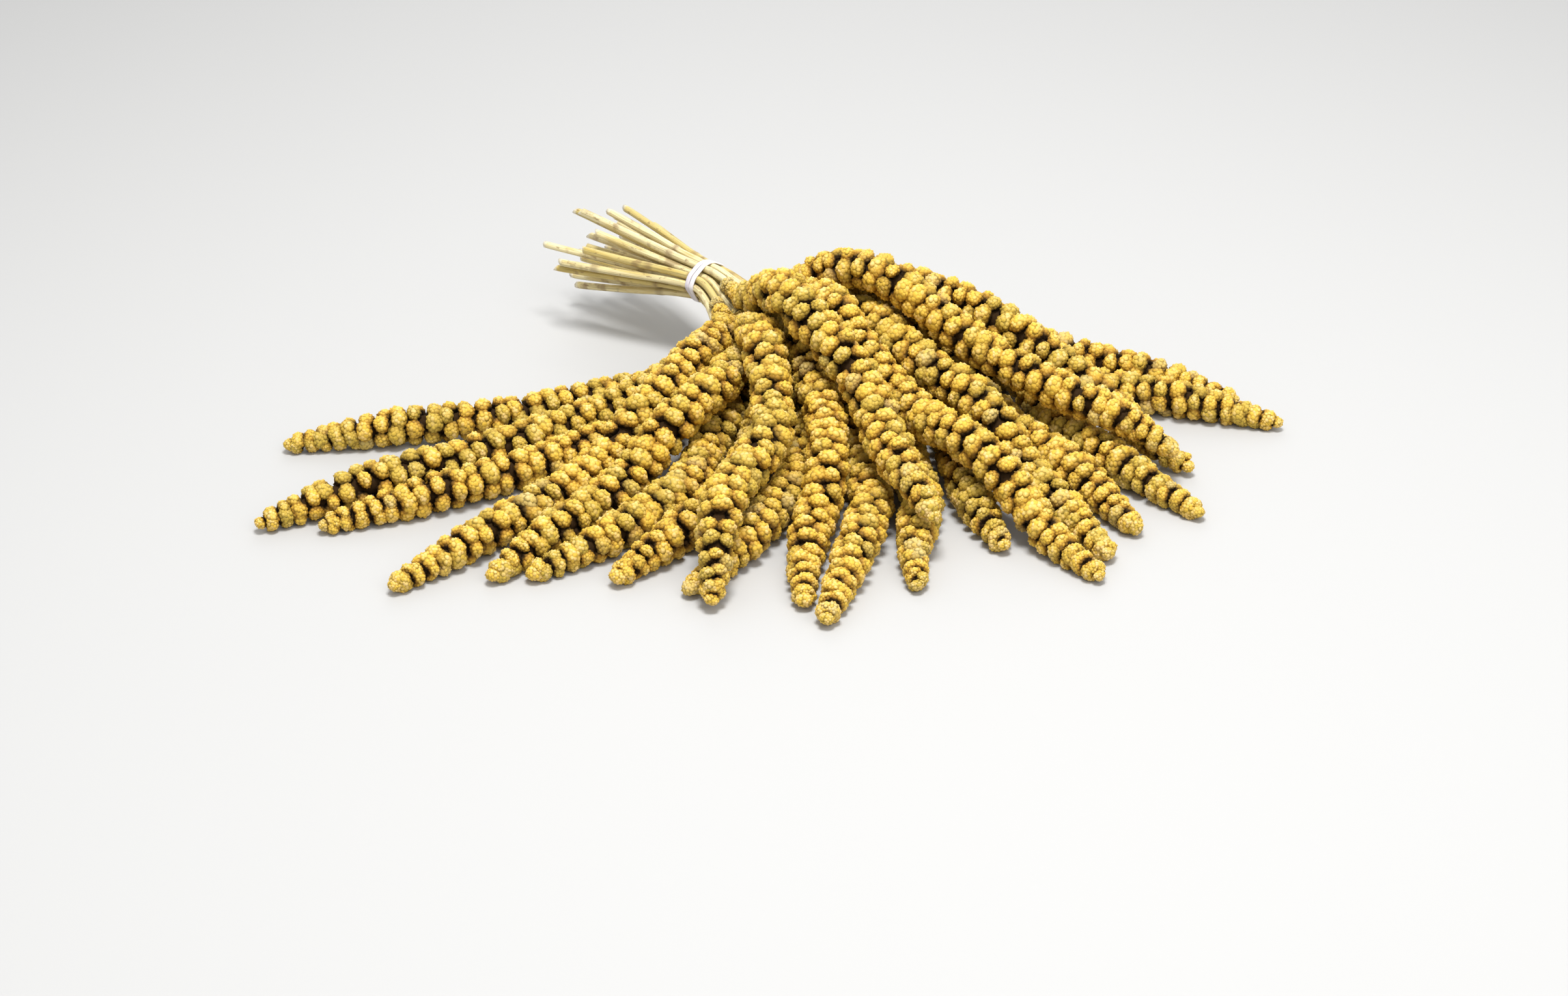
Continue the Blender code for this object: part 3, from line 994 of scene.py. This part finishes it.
@dataclass(frozen=True)
class LobeFields:
    """What the node tree knows of each lobe before it is placed."""

    count: Socket
    row: Socket
    column: Socket
    is_last: Socket
    factor: Socket
    girth: Socket
    centre: Socket
    tangent: Socket
    normal: Socket


class HeadTree:
    """Geometry nodes that set rows of seed clusters round a centre line."""

    INPUTS = {
        "Line": (Kind.GEOMETRY, None),
        "Clusters": (Kind.COLLECTION, None),
        "Cluster Count": (Kind.COUNT, 5),
        "Lobes Round": (Kind.COUNT, 5),
        "Lobe Width": (Kind.NUMBER, 0.0141),
        "Size Spread": (Kind.NUMBER, 0.14),
        "Tip Growth": (Kind.NUMBER, -0.06),
        "Full Girth": (Kind.NUMBER, 0.0142),
        "Smallest Lobe": (Kind.NUMBER, 0.45),
        "Sink": (Kind.NUMBER, 0.44),
        "Core Share": (Kind.NUMBER, 0.46),
        "Lean": (Kind.NUMBER, 0.25),
        "Tip Lean": (Kind.NUMBER, 0.70),
        "Twist": (Kind.NUMBER, 0.25),
        "Wander": (Kind.NUMBER, 0.30),
        "Head Tint": (Kind.NUMBER, 0.5),
        "Green Reach": (Kind.NUMBER, 0.05),
        "Floor": (Kind.NUMBER, 0.0),
        "Seed": (Kind.COUNT, 0),
        "Finish": (Kind.MATERIAL, None),
    }

    # Limits of the random numbers
    LOBE_SPREAD = (-1.0, 1.0)
    ROW_SPREAD = (-0.5, 0.5)
    WANDERING = (-0.5, 0.5)
    LEANING = (-0.25, 0.25)
    TINTING = (-0.45, 0.45)
    GREEN_BASE = (0.6, 1.6)
    ANY_SHARE = (0.0, 1.0)

    # The end stays under 1, so that the last cluster is the highest that can be chosen
    CHOOSING = (0.0, 0.999)

    # Part of the head, from its base to its tip, where the lobes lean more and where the core ends
    TIP_PART = Ease(0.88, 1.0)
    CORE_END = Ease(0.94, 1.0, end=0.0, start=1.0)
    CORE_SIDES = 10

    # How green the few green lobes are that lie anywhere
    FEW_GREEN = Ease(0.90, 1.0, 0.6)

    # Added to a lobe's number, so that a whole quotient never comes out just under its row
    NUDGE = 0.1

    # Girth by which the painted shade on the tip's lobe is measured, as a share of its own, so that less
    # shade is painted on it
    TIP_SHADE = 0.75

    def __init__(self) -> None:
        """Build the tree."""
        self.graph = Graph.group("millet head", "GeometryNodeTree", self.INPUTS, {"Head": Kind.GEOMETRY})
        self.draws = 0
        start = self.graph.start
        self.line = self.graph.add("GeometryNodeMeshToCurve", {"Mesh": start["Line"]}).outputs[0]
        joined = self.graph.add("GeometryNodeJoinGeometry")
        for source in (self.build_core(), self.place_lobes()):
            self.graph.tree.links.new(source, joined.inputs[0])
        # The depth is what the material paints shade and highlights by
        measured = self.keep(joined.outputs[0], "depth", self.depth())
        lifted = self.keep_above_floor(measured)
        smooth = self.graph.add("GeometryNodeSetShadeSmooth", {"Geometry": lifted})
        dressed = self.graph.add(
            "GeometryNodeSetMaterial", {"Geometry": smooth.outputs[0], "Material": start["Finish"]})
        self.graph.fill(self.graph.end["Head"], dressed.outputs[0])
        self.identifiers = {
            item.name: item.identifier
            for item in self.graph.tree.interface.items_tree
            if item.in_out == "INPUT"
        }

    def draw(self, limits: Range, by: Socket | None = None) -> Socket:
        """A random number for each lobe.

        Args:
            limits: The lowest and the highest number.
            by: Field whose equal values get equal numbers, where that isn't the lobe.

        Returns:
            The number.
        """
        self.draws += 1
        seed = self.graph.math("ADD", self.graph.start["Seed"], self.draws)
        inputs = {2: limits[0], 3: limits[1], 8: seed}
        if by is not None:
            inputs[7] = by
        return self.graph.add("FunctionNodeRandomValue", inputs, data_type="FLOAT").outputs[1]

    def read(self, name: str) -> Socket:
        """A number that is kept on the line's points."""
        return self.graph.add("GeometryNodeInputNamedAttribute", {"Name": name}, data_type="FLOAT").outputs[0]

    def sample(self, line: Socket, field: Socket, index: Socket) -> Socket:
        """Value that a field has at one point of a line.

        Args:
            line: The line.
            field: A number or a vector.
            index: Number of the point.

        Returns:
            The value.
        """
        kind = "FLOAT_VECTOR" if field.type == "VECTOR" else "FLOAT"
        node = self.graph.add("GeometryNodeSampleIndex", {"Geometry": line}, data_type=kind, domain="POINT")
        self.graph.fill(node.inputs["Value"], field)
        self.graph.fill(node.inputs["Index"], index)
        return node.outputs[0]

    def keep(self, geometry: Socket, name: str, value: Socket) -> Socket:
        """Keep a number for each point, under a name that the material reads.

        Args:
            geometry: The points.
            name: Name that the material reads.
            value: The number.

        Returns:
            The points with the number.
        """
        node = self.graph.add(
            "GeometryNodeStoreNamedAttribute", {"Geometry": geometry, "Name": name, "Value": value},
            data_type="FLOAT", domain="POINT")
        return node.outputs[0]

    def number_lobes(self) -> LobeFields:
        """Share the lobes out over the rows, with one more lobe at the tip.

        Returns:
            The fields of each lobe.
        """
        graph, start = self.graph, self.graph.start
        points = graph.add("GeometryNodeAttributeDomainSize", {0: self.line}, component="CURVE")
        rows = graph.math("SUBTRACT", points.outputs["Point Count"], 1.0)
        lobes = graph.product(rows, start["Lobes Round"])
        index = graph.add("GeometryNodeInputIndex").outputs[0]
        nudged = graph.math("ADD", index, self.NUDGE)
        row = graph.math("FLOOR", graph.math("DIVIDE", nudged, start["Lobes Round"]))
        fields = [self.read("girth")]
        for name in ("Position", "Tangent", "Normal"):
            fields.append(graph.add(f"GeometryNodeInput{name}").outputs[0])
        girth, centre, tangent, normal = (self.sample(self.line, field, row) for field in fields)
        return LobeFields(
            count=graph.math("ADD", lobes, 1.0),
            row=row,
            column=graph.math("SUBTRACT", index, graph.product(row, start["Lobes Round"])),
            is_last=graph.math("GREATER_THAN", nudged, lobes),
            factor=graph.math("DIVIDE", row, rows, clamp=True),
            girth=girth,
            centre=centre,
            tangent=tangent,
            normal=normal,
        )

    def lobe_size(self, lobe: LobeFields) -> Socket:
        """Width of each lobe: less where the head is thinner, and uneven.

        Args:
            lobe: The fields of each lobe.

        Returns:
            The width.
        """
        graph, start = self.graph, self.graph.start
        full = graph.math("DIVIDE", lobe.girth, start["Full Girth"], clamp=True)
        rest = graph.math("SUBTRACT", 1.0, start["Smallest Lobe"])
        share = graph.math("MULTIPLY_ADD", full, rest, start["Smallest Lobe"])
        spread = graph.math("ADD", self.draw(self.LOBE_SPREAD), self.draw(self.ROW_SPREAD, by=lobe.row))
        return graph.product(
            share, start["Lobe Width"],
            graph.math("MULTIPLY_ADD", spread, start["Size Spread"], 1.0),
            graph.math("MULTIPLY_ADD", lobe.is_last, start["Tip Growth"], 1.0))

    def way_out(self, lobe: LobeFields) -> Socket:
        """Direction of each lobe from the line: across it in the staggered rows, along it at the tip.

        Args:
            lobe: The fields of each lobe.

        Returns:
            The direction.
        """
        graph, start = self.graph, self.graph.start
        stagger = graph.product(graph.math("MODULO", lobe.row, 2.0), 0.5)
        wander = graph.product(self.draw(self.WANDERING), start["Wander"])
        turn = graph.math("ADD", graph.math("ADD", lobe.column, stagger), wander)
        turn = graph.product(graph.math("DIVIDE", turn, start["Lobes Round"]), 2 * math.pi)
        angle = graph.math("ADD", graph.math("MULTIPLY_ADD", lobe.row, start["Twist"], turn), start["Seed"])
        binormal = graph.vector("CROSS_PRODUCT", lobe.tangent, lobe.normal)
        return graph.between(lobe.is_last, graph.turned(angle, lobe.normal, binormal), lobe.tangent)

    def lobe_place(self, lobe: LobeFields, size: Socket, out: Socket) -> Socket:
        """Middle of each lobe: sunk into the outline by its size, and a little off its row.

        Args:
            lobe: The fields of each lobe.
            size: Its width.
            out: Its direction from the line.

        Returns:
            The place.
        """
        graph, start = self.graph, self.graph.start
        sunk = graph.product(size, start["Sink"])
        reach = graph.math("MAXIMUM", graph.math("SUBTRACT", lobe.girth, sunk), 0.0)
        in_rows = graph.math("SUBTRACT", 1.0, lobe.is_last)
        shift = graph.product(self.draw(self.WANDERING), graph.product(size, start["Wander"]), in_rows)
        place = graph.vector("ADD", lobe.centre, graph.scale(out, reach))
        return graph.vector("ADD", place, graph.scale(lobe.tangent, shift))

    def lobe_turn(self, lobe: LobeFields, out: Socket) -> Socket:
        """Rotation that points each lobe outwards and lets it lean towards the head's tip.

        Args:
            lobe: The fields of each lobe.
            out: Its direction from the line.

        Returns:
            The rotation.
        """
        graph, start = self.graph, self.graph.start
        tip = graph.ease(lobe.factor, self.TIP_PART)
        lean = graph.math("MULTIPLY_ADD", tip, start["Tip Lean"], start["Lean"])
        lean = graph.math("ADD", lean, self.draw(self.LEANING))
        upright = graph.add(
            "FunctionNodeAlignRotationToVector", {"Vector": graph.turned(lean, out, lobe.tangent)},
            axis="Z", pivot_axis="AUTO")
        turned = graph.add(
            "FunctionNodeAlignRotationToVector", {"Rotation": upright.outputs[0], "Vector": lobe.tangent},
            axis="X", pivot_axis="Z")
        return turned.outputs[0]

    def unripe(self, factor: Socket) -> Socket:
        """How green each lobe is: most at the head's base, and a little on a few lobes anywhere.

        Args:
            factor: Where the lobe lies, from 0 at the base to 1 at the tip.

        Returns:
            The share of green.
        """
        graph = self.graph
        up_head = graph.math("DIVIDE", factor, graph.start["Green Reach"], clamp=True)
        base = graph.math("SUBTRACT", 1.0, up_head)
        base = graph.math("MULTIPLY", base, self.draw(self.GREEN_BASE), clamp=True)
        return graph.math("MAXIMUM", base, graph.ease(self.draw(self.ANY_SHARE), self.FEW_GREEN))

    def place_lobes(self) -> Socket:
        """Set the lobes in their rows.

        Returns:
            The lobes, as faces.
        """
        graph, start = self.graph, self.graph.start
        lobe = self.number_lobes()
        size = self.lobe_size(lobe)
        out = self.way_out(lobe)
        place = self.lobe_place(lobe, size, out)
        turn = self.lobe_turn(lobe, out)
        points = graph.add("GeometryNodePoints", {"Count": lobe.count, "Position": place}).outputs[0]
        points = self.keep(points, "tint", graph.math("ADD", start["Head Tint"], self.draw(self.TINTING)))
        points = self.keep(points, "unripe", self.unripe(lobe.factor))
        clusters = graph.add(
            "GeometryNodeCollectionInfo",
            {"Collection": start["Clusters"], "Separate Children": True, "Reset Children": True}).outputs[0]
        choice = graph.math("FLOOR", graph.product(self.draw(self.CHOOSING), start["Cluster Count"]))
        placed = graph.add(
            "GeometryNodeInstanceOnPoints",
            {"Points": points, "Instance": clusters, "Pick Instance": True, "Instance Index": choice,
             "Rotation": turn, "Scale": size})
        return graph.add("GeometryNodeRealizeInstances", {"Geometry": placed.outputs[0]}).outputs[0]

    def depth(self) -> Socket:
        """How far out each point lies.

        Returns:
            A number: 0 on the head's centre line, 1 at its outer radius.
        """
        graph, line = self.graph, self.graph.start["Line"]
        distance = graph.add("GeometryNodeProximity", {0: line}, target_element="EDGES").outputs["Distance"]
        nearest = graph.add("GeometryNodeSampleNearest", {0: line}, domain="POINT").outputs[0]
        return graph.math("DIVIDE", distance, self.sample(line, self.read("shade girth"), nearest))

    def build_core(self) -> Socket:
        """The core that closes the gaps between the lobes, painted near black as shade by the material.

        Returns:
            A tube that ends inside the lobe at the tip.
        """
        graph = self.graph
        ring = graph.add("GeometryNodeCurvePrimitiveCircle", {"Resolution": self.CORE_SIDES, "Radius": 1.0})
        factor = graph.add("GeometryNodeSplineParameter").outputs["Factor"]
        radius = graph.product(
            self.read("girth"), graph.start["Core Share"], graph.ease(factor, self.CORE_END))
        tube = graph.add(
            "GeometryNodeCurveToMesh",
            {"Curve": self.line, "Profile Curve": ring.outputs[0], "Scale": radius, "Fill Caps": True})
        return tube.outputs[0]

    def keep_above_floor(self, geometry: Socket) -> Socket:
        """Press what would sink into the floor flat on it.

        Args:
            geometry: The head.

        Returns:
            The head, with no point under the floor's height.
        """
        graph = self.graph
        place = graph.add("GeometryNodeInputPosition").outputs[0]
        parts = graph.add("ShaderNodeSeparateXYZ", {0: place}).outputs
        height = graph.math("MAXIMUM", parts[2], graph.start["Floor"])
        raised = graph.add("ShaderNodeCombineXYZ", {0: parts[0], 1: parts[1], 2: height}).outputs[0]
        return graph.add("GeometryNodeSetPosition", {"Geometry": geometry, "Position": raised}).outputs[0]

    def grow(self, name: str, line: CentreLine, values: dict[str, object]) -> bpy.types.Object:
        """Grow one head along a centre line.

        Args:
            name: Name of the new piece.
            line: The head's centre line, with its outer radius.
            values: Values of the tree's inputs, by name.

        Returns:
            The piece, as a plain mesh.
        """
        mesh = bpy.data.meshes.new(name)
        links = [(k, k + 1) for k in range(len(line.points) - 1)]
        mesh.from_pydata([tuple(point) for point in line.points], links, [])
        store(mesh, "girth", line.radii)
        store(mesh, "shade girth", np.append(line.radii[:-1], line.radii[-1] * self.TIP_SHADE))
        piece = in_scene(name, mesh)
        modifier = piece.modifiers.new("lobes", "NODES")
        modifier.node_group = self.graph.tree
        for label, value in values.items():
            modifier[self.identifiers[label]] = value
        graph = bpy.context.evaluated_depsgraph_get()
        grown = bpy.data.meshes.new_from_object(
            piece.evaluated_get(graph), preserve_all_data_layers=True, depsgraph=graph)
        piece.modifiers.remove(modifier)
        piece.data = grown
        grown.name = name
        bpy.data.meshes.remove(mesh)
        return piece


@dataclass(frozen=True)
class MilletHead:
    """One head: rows of seed clusters round its core."""

    number: int
    line: CentreLine
    tint: float
    green_reach: float
    row_pitch: float = 0.0106
    smallest_pitch: float = 0.45
    before_tip: float = 0.3
    seeds_apart: int = 100

    @property
    def node(self) -> str:
        """Name of the solid that the head stands for."""
        return f"head_{self.number:02d}"

    def build(self, tree: HeadTree, clusters: bpy.types.Collection, finish: bpy.types.Material) -> None:
        """Grow the head and let it ride on the part.

        Args:
            tree: The nodes that grow it.
            clusters: The clusters to choose from.
            finish: Its material.
        """
        rows = self.line.rows(self.row_pitch, self.smallest_pitch, self.before_tip)
        piece = tree.grow(f"millet_{self.node}", rows, {
            "Clusters": clusters,
            "Cluster Count": len(clusters.objects),
            "Full Girth": float(self.line.radii.max()),
            "Smallest Lobe": self.smallest_pitch,
            "Head Tint": self.tint,
            "Green Reach": self.green_reach,
            "Floor": FLOOR_GAP,
            "Seed": self.number * self.seeds_apart,
            "Finish": finish,
        })
        settle_piece(piece, [self.node])


@dataclass(frozen=True)
class Stalk:
    """One straw stalk: a ribbed tube with a joint, a slanted hollow cut end and its end in the head.

    Its own places are two distances across it and one along it from the cut end. They are shifted
    from stalk to stalk, so that no two show the same fibres.
    """

    number: int
    line: CentreLine
    tint: float
    slant: float
    slant_angle: float
    joint_at: float
    oval: float
    radius: float = 0.0023
    sides: int = 20
    ribs: int = 7
    rib_depth: float = 0.045
    rib_twist: float = 9.0
    joint_rise: float = 0.20
    joint_length: float = 0.0016
    joint_stain: float = 1.5
    slant_length: float = 0.008
    wall: float = 0.72
    recess: float = 0.0025
    recess_share: float = 0.5
    fibre_shift: float = 0.05

    @property
    def node(self) -> str:
        """Name of the solid that the stalk stands for."""
        return f"stalk_{self.number:02d}"

    def profile(self, along: float, angle: np.ndarray) -> np.ndarray:
        """Radius of the stalk round it.

        Args:
            along: Distance from the cut end.
            angle: Angles round the stalk.

        Returns:
            The radius at each angle.
        """
        ribs = 1 + self.rib_depth * np.cos(self.ribs * angle + self.rib_twist * along)
        oval = 1 + self.oval * np.cos(2 * angle)
        joint = 1 + self.joint_rise * math.exp(-(((along - self.joint_at) / self.joint_length) ** 2))
        return self.radius * ribs * oval * joint

    def rings(self) -> tuple[list[np.ndarray], list[np.ndarray]]:
        """Rings of points from the floor of the hollow end, over its rim, to the end in the head.

        Returns:
            The points of each ring, and their own places on the stalk.
        """
        tangents, sides, tops = self.line.frames()
        angle = np.arange(self.sides) * 2 * math.pi / self.sides
        slant = self.slant * np.cos(angle - self.slant_angle)
        rings = []
        local = []
        for k, along in enumerate(self.line.distances()):
            radius = self.profile(along, angle)
            x, y = radius * np.cos(angle), radius * np.sin(angle)
            across = np.outer(x, sides[k]) + np.outer(y, tops[k])
            back = radius * slant * float(1 - smooth_step(along / self.slant_length))
            rings.append(self.line.points[k] + across + np.outer(back, tangents[k]))
            local.append(np.stack((x, y, along + back), axis=1))
        middle = rings[0].mean(axis=0)
        inner = middle + (rings[0] - middle) * self.wall
        floor = inner + tangents[0] * self.recess
        hollow = [local[0] * (share, share, 1.0) for share in (self.recess_share, self.wall)]
        return [floor, inner] + rings, hollow + local

    def build(self, finish: bpy.types.Material) -> None:
        """Make the stalk and let it ride on the part.

        Args:
            finish: Its material.
        """
        rings, local = self.rings()
        mesh = ring_mesh(f"straw_{self.node}", rings, closed=False)
        mesh.materials.append(finish)
        places = np.concatenate(local)
        joint = np.exp(-(((places[:, 2] - self.joint_at) / (self.joint_stain * self.joint_length)) ** 2))
        # Painted shade: the floor of the hollow end is painted as dark as a joint
        joint[:self.sides] = 1.0
        store(mesh, "own_place", places + (self.number * self.fibre_shift, 0.0, 0.0))
        store(mesh, "joint", joint)
        store(mesh, "tint", np.full(len(places), self.tint))
        settle_piece(in_scene(mesh.name, mesh), [self.node])


@dataclass(frozen=True)
class TieBand:
    """The white band that holds the stalks, wound twice side by side, with its turns crossing once.

    Its own places are its width, its thickness and the distance along it.
    """

    stalks: list[np.ndarray]
    seat: float = 0.0029
    thickness: float = 0.0013
    width: float = 0.0036
    side_curve: float = 0.7
    top_curve: float = 0.8
    shift: float = 0.0020
    waver: float = 0.0002
    waves: float = 1.5
    crossing: float = math.radians(300)
    crossing_length: float = 0.45
    steps: int = 110
    looks_per_step: int = 8
    corners: int = 14
    rounding: int = 8

    def outline(self) -> np.ndarray:
        """One turn of the band's middle, pulled tight round the stalks.

        Returns:
            Evenly spaced points, from opposite the crossing.
        """
        places = []
        for angle in np.linspace(0, 2 * math.pi, self.looks_per_step * self.steps) + self.crossing - math.pi:
            out = np.array((0.0, math.cos(angle), math.sin(angle)))
            places.append(max(self.stalks, key=lambda place: float(place @ out)) + out * self.seat)
        line = CentreLine(np.array(places), np.zeros(len(places)))
        along = line.distances()
        turn = points_at(np.arange(self.steps) / self.steps * along[-1], along, line.points)
        for _ in range(self.rounding):
            turn = 0.5 * turn + 0.25 * (np.roll(turn, 1, axis=0) + np.roll(turn, -1, axis=0))
        return turn

    def section(self) -> list[tuple[float, float]]:
        """Rounded outline across the band.

        Returns:
            Width and height of each corner from the middle.
        """
        corners = []
        for k in range(self.corners):
            angle = 2 * math.pi * (k + 0.5) / self.corners
            x = math.copysign(abs(math.cos(angle)) ** self.side_curve, math.cos(angle)) * self.width / 2
            z = math.copysign(abs(math.sin(angle)) ** self.top_curve, math.sin(angle)) * self.thickness / 2
            corners.append((x, z))
        return corners

    def build(self, finish: bpy.types.Material) -> None:
        """Make the band and let it ride on the part.

        Args:
            finish: Its material.
        """
        turn = self.outline()
        ahead = unit(np.roll(turn, -1, axis=0) - np.roll(turn, 1, axis=0))
        outward = np.cross(ahead, (1.0, 0.0, 0.0))
        step = np.linalg.norm(turn[1] - turn[0])
        section = self.section()
        rings = []
        local = []
        strand = []
        for k in range(2 * self.steps):
            angle = 2 * math.pi * k / self.steps
            # The turns cross at the middle of each, where the second one passes over the first
            lift = self.thickness * math.exp(-(((angle - 3 * math.pi) / self.crossing_length) ** 2))
            out = outward[k % self.steps]
            side = math.cos(angle / 2)
            middle = turn[k % self.steps] + out * lift
            shift = self.shift * side + self.waver * math.sin(self.waves * angle)
            rings.append([middle + out * z + np.array((x + shift, 0.0, 0.0)) for x, z in section])
            local += [(x, z, k * step) for x, z in section]
            # Painted shade: greyer where a turn lies towards -x, so one of the two strands looks shaded
            strand += [0.5 - 0.5 * side] * len(section)
        mesh = ring_mesh("tie_band", rings, closed=True)
        mesh.materials.append(finish)
        store(mesh, "own_place", np.array(local))
        store(mesh, "strand", np.array(strand))
        settle_piece(in_scene(mesh.name, mesh), ["tie"])


@dataclass(frozen=True)
class Bunch:
    """The whole bunch: its heads, stalks and tie."""

    seed: int = 5
    cluster_kinds: int = 6
    stalk_into_head: int = 4
    least_green: float = 0.004
    green_reach: Range = (-0.05, 0.14)
    head_tint: Range = (0.3, 0.7)
    stalk_tint: Range = (0.0, 1.0)
    slant: Range = (0.1, 1.1)
    slant_angle: Range = (0.0, 2 * math.pi)
    joint_at: Range = (0.02, 0.16)
    oval: Range = (-0.10, 0.10)

    @staticmethod
    def follow_lines() -> list[tuple[CentreLine, CentreLine]]:
        """Follow the centre lines of all stalks and heads along their solids.

        Returns:
            The line of each stalk with the line of its head.
        """
        lines = []
        for number in range(1, HEAD_COUNT + 1):
            surface, _ = scatter(f"stalk_{number:02d}")
            cut_end = surface[surface[:, 0] < surface[:, 0].min() + STALK_WINDOW / 2].mean(axis=0)
            stalk = follow(f"stalk_{number:02d}", cut_end, (1.0, 0.0, 0.0), STALK_STEP, STALK_WINDOW)
            head = follow(
                f"head_{number:02d}", stalk.points[-1], stalk.heading_at_end(), HEAD_STEP, HEAD_WINDOW)
            lines.append((stalk, head))
        return lines

    def draw_stalk(self, number: int, points: np.ndarray, rng: np.random.Generator) -> Stalk:
        """Draw what one stalk is like.

        Args:
            number: Number of the stalk.
            points: Points of its centre line.
            rng: Source of the random numbers.

        Returns:
            The stalk.
        """
        return Stalk(
            number=number,
            line=CentreLine(points, np.zeros(len(points))),
            tint=rng.uniform(*self.stalk_tint),
            slant=rng.uniform(*self.slant),
            slant_angle=rng.uniform(*self.slant_angle),
            joint_at=rng.uniform(*self.joint_at),
            oval=rng.uniform(*self.oval),
        )

    def build(self) -> None:
        """Build every piece."""
        groups = Groups()
        seed_skin = MilletFinish().build(groups)
        straw = StrawFinish().build(groups)
        band = BandFinish().build(groups)
        clusters = bpy.data.collections.new("clusters")
        for number in range(1, self.cluster_kinds + 1):
            clusters.objects.link(SeedCluster(number).build())
        tree = HeadTree()
        rng = np.random.default_rng(self.seed)
        lines = self.follow_lines()
        for number, (stalk_line, head_line) in enumerate(lines, start=1):
            green = max(self.least_green, rng.uniform(*self.green_reach))
            tint = rng.uniform(*self.head_tint)
            MilletHead(number, head_line, tint, green).build(tree, clusters, seed_skin)
            points = np.vstack((stalk_line.points, head_line.points[1:self.stalk_into_head]))
            self.draw_stalk(number, points, rng).build(straw)
        low, high = (np.array(corner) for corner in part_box("tie"))
        TieBand([stalk.at_x((low[0] + high[0]) / 2) for stalk, _ in lines]).build(band)
        for cluster in list(clusters.objects):
            bpy.data.objects.remove(cluster, do_unlink=True)
        bpy.data.collections.remove(clusters)


@dataclass(frozen=True)
class SquareLight:
    """A square light that faces the bunch."""

    name: str
    place: tuple
    size: float
    power: float

    def hang(self) -> None:
        """Put the light into the scene."""
        light = bpy.data.lights.new(self.name, "AREA")
        light.size = self.size
        light.energy = self.power
        lamp = in_scene(self.name, light)
        lamp.location = self.place
        lamp.rotation_euler = (-Vector(self.place)).to_track_quat("-Z", "Y").to_euler()


@dataclass(frozen=True)
class Studio:
    """Plain pale floor, soft lights and the camera."""

    tie_middle: Vector
    floor_size: float = 7.0
    floor_colour: Colour = (0.44, 0.437, 0.43, 1.0)
    floor_roughness: float = 0.7
    sky_colour: Colour = (0.98, 0.99, 1.0, 1.0)
    sky_strength: float = 0.70
    lights: tuple = (
        SquareLight("key", (0.30, -0.10, 2.0), 0.6, 48.0),
        SquareLight("fill", (1.8, -0.4, 1.5), 1.4, 18.0),
        SquareLight("back", (-1.2, 1.2, 1.2), 1.2, 8.0),
    )

    def build_floor(self) -> None:
        """Lay the floor under the bunch."""
        look = {"Base Color": self.floor_colour, "Roughness": self.floor_roughness}
        half = self.floor_size / 2
        corners = [(-half, -half, 0), (half, -half, 0), (half, half, 0), (-half, half, 0)]
        mesh = bpy.data.meshes.new("floor")
        mesh.from_pydata(corners, [], [(0, 1, 2, 3)])
        mesh.materials.append(Skin("pale floor").dress(look))
        in_scene("floor", mesh)

    def build_camera(self) -> None:
        """Set the camera at the reference view."""
        camera = bpy.data.cameras.new("camera")
        camera.lens = CAMERA_LENS
        camera.sensor_width = CAMERA_SENSOR
        camera.sensor_fit = "HORIZONTAL"
        stand = in_scene("camera", camera)
        stand.location = self.tie_middle + Vector(CAMERA_FROM_TIE)
        stand.rotation_euler = Euler([math.radians(turn) for turn in CAMERA_TURN], "XYZ")
        bpy.context.scene.camera = stand

    def build(self) -> None:
        """Build the floor, lights, sky and camera."""
        self.build_floor()
        for light in self.lights:
            light.hang()
        world = bpy.data.worlds.new("sky")
        world.use_nodes = True
        backdrop = world.node_tree.nodes["Background"]
        backdrop.inputs["Color"].default_value = self.sky_colour
        backdrop.inputs["Strength"].default_value = self.sky_strength
        bpy.context.scene.world = world
        bpy.context.scene.view_settings.view_transform = "Standard"
        self.build_camera()


def main() -> None:
    """Build the bunch and the studio round it."""
    logging.basicConfig(level=logging.INFO, format="%(message)s")
    Bunch().build()
    low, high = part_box("tie")
    Studio((low + high) / 2).build()


if __name__ == "__main__":
    main()
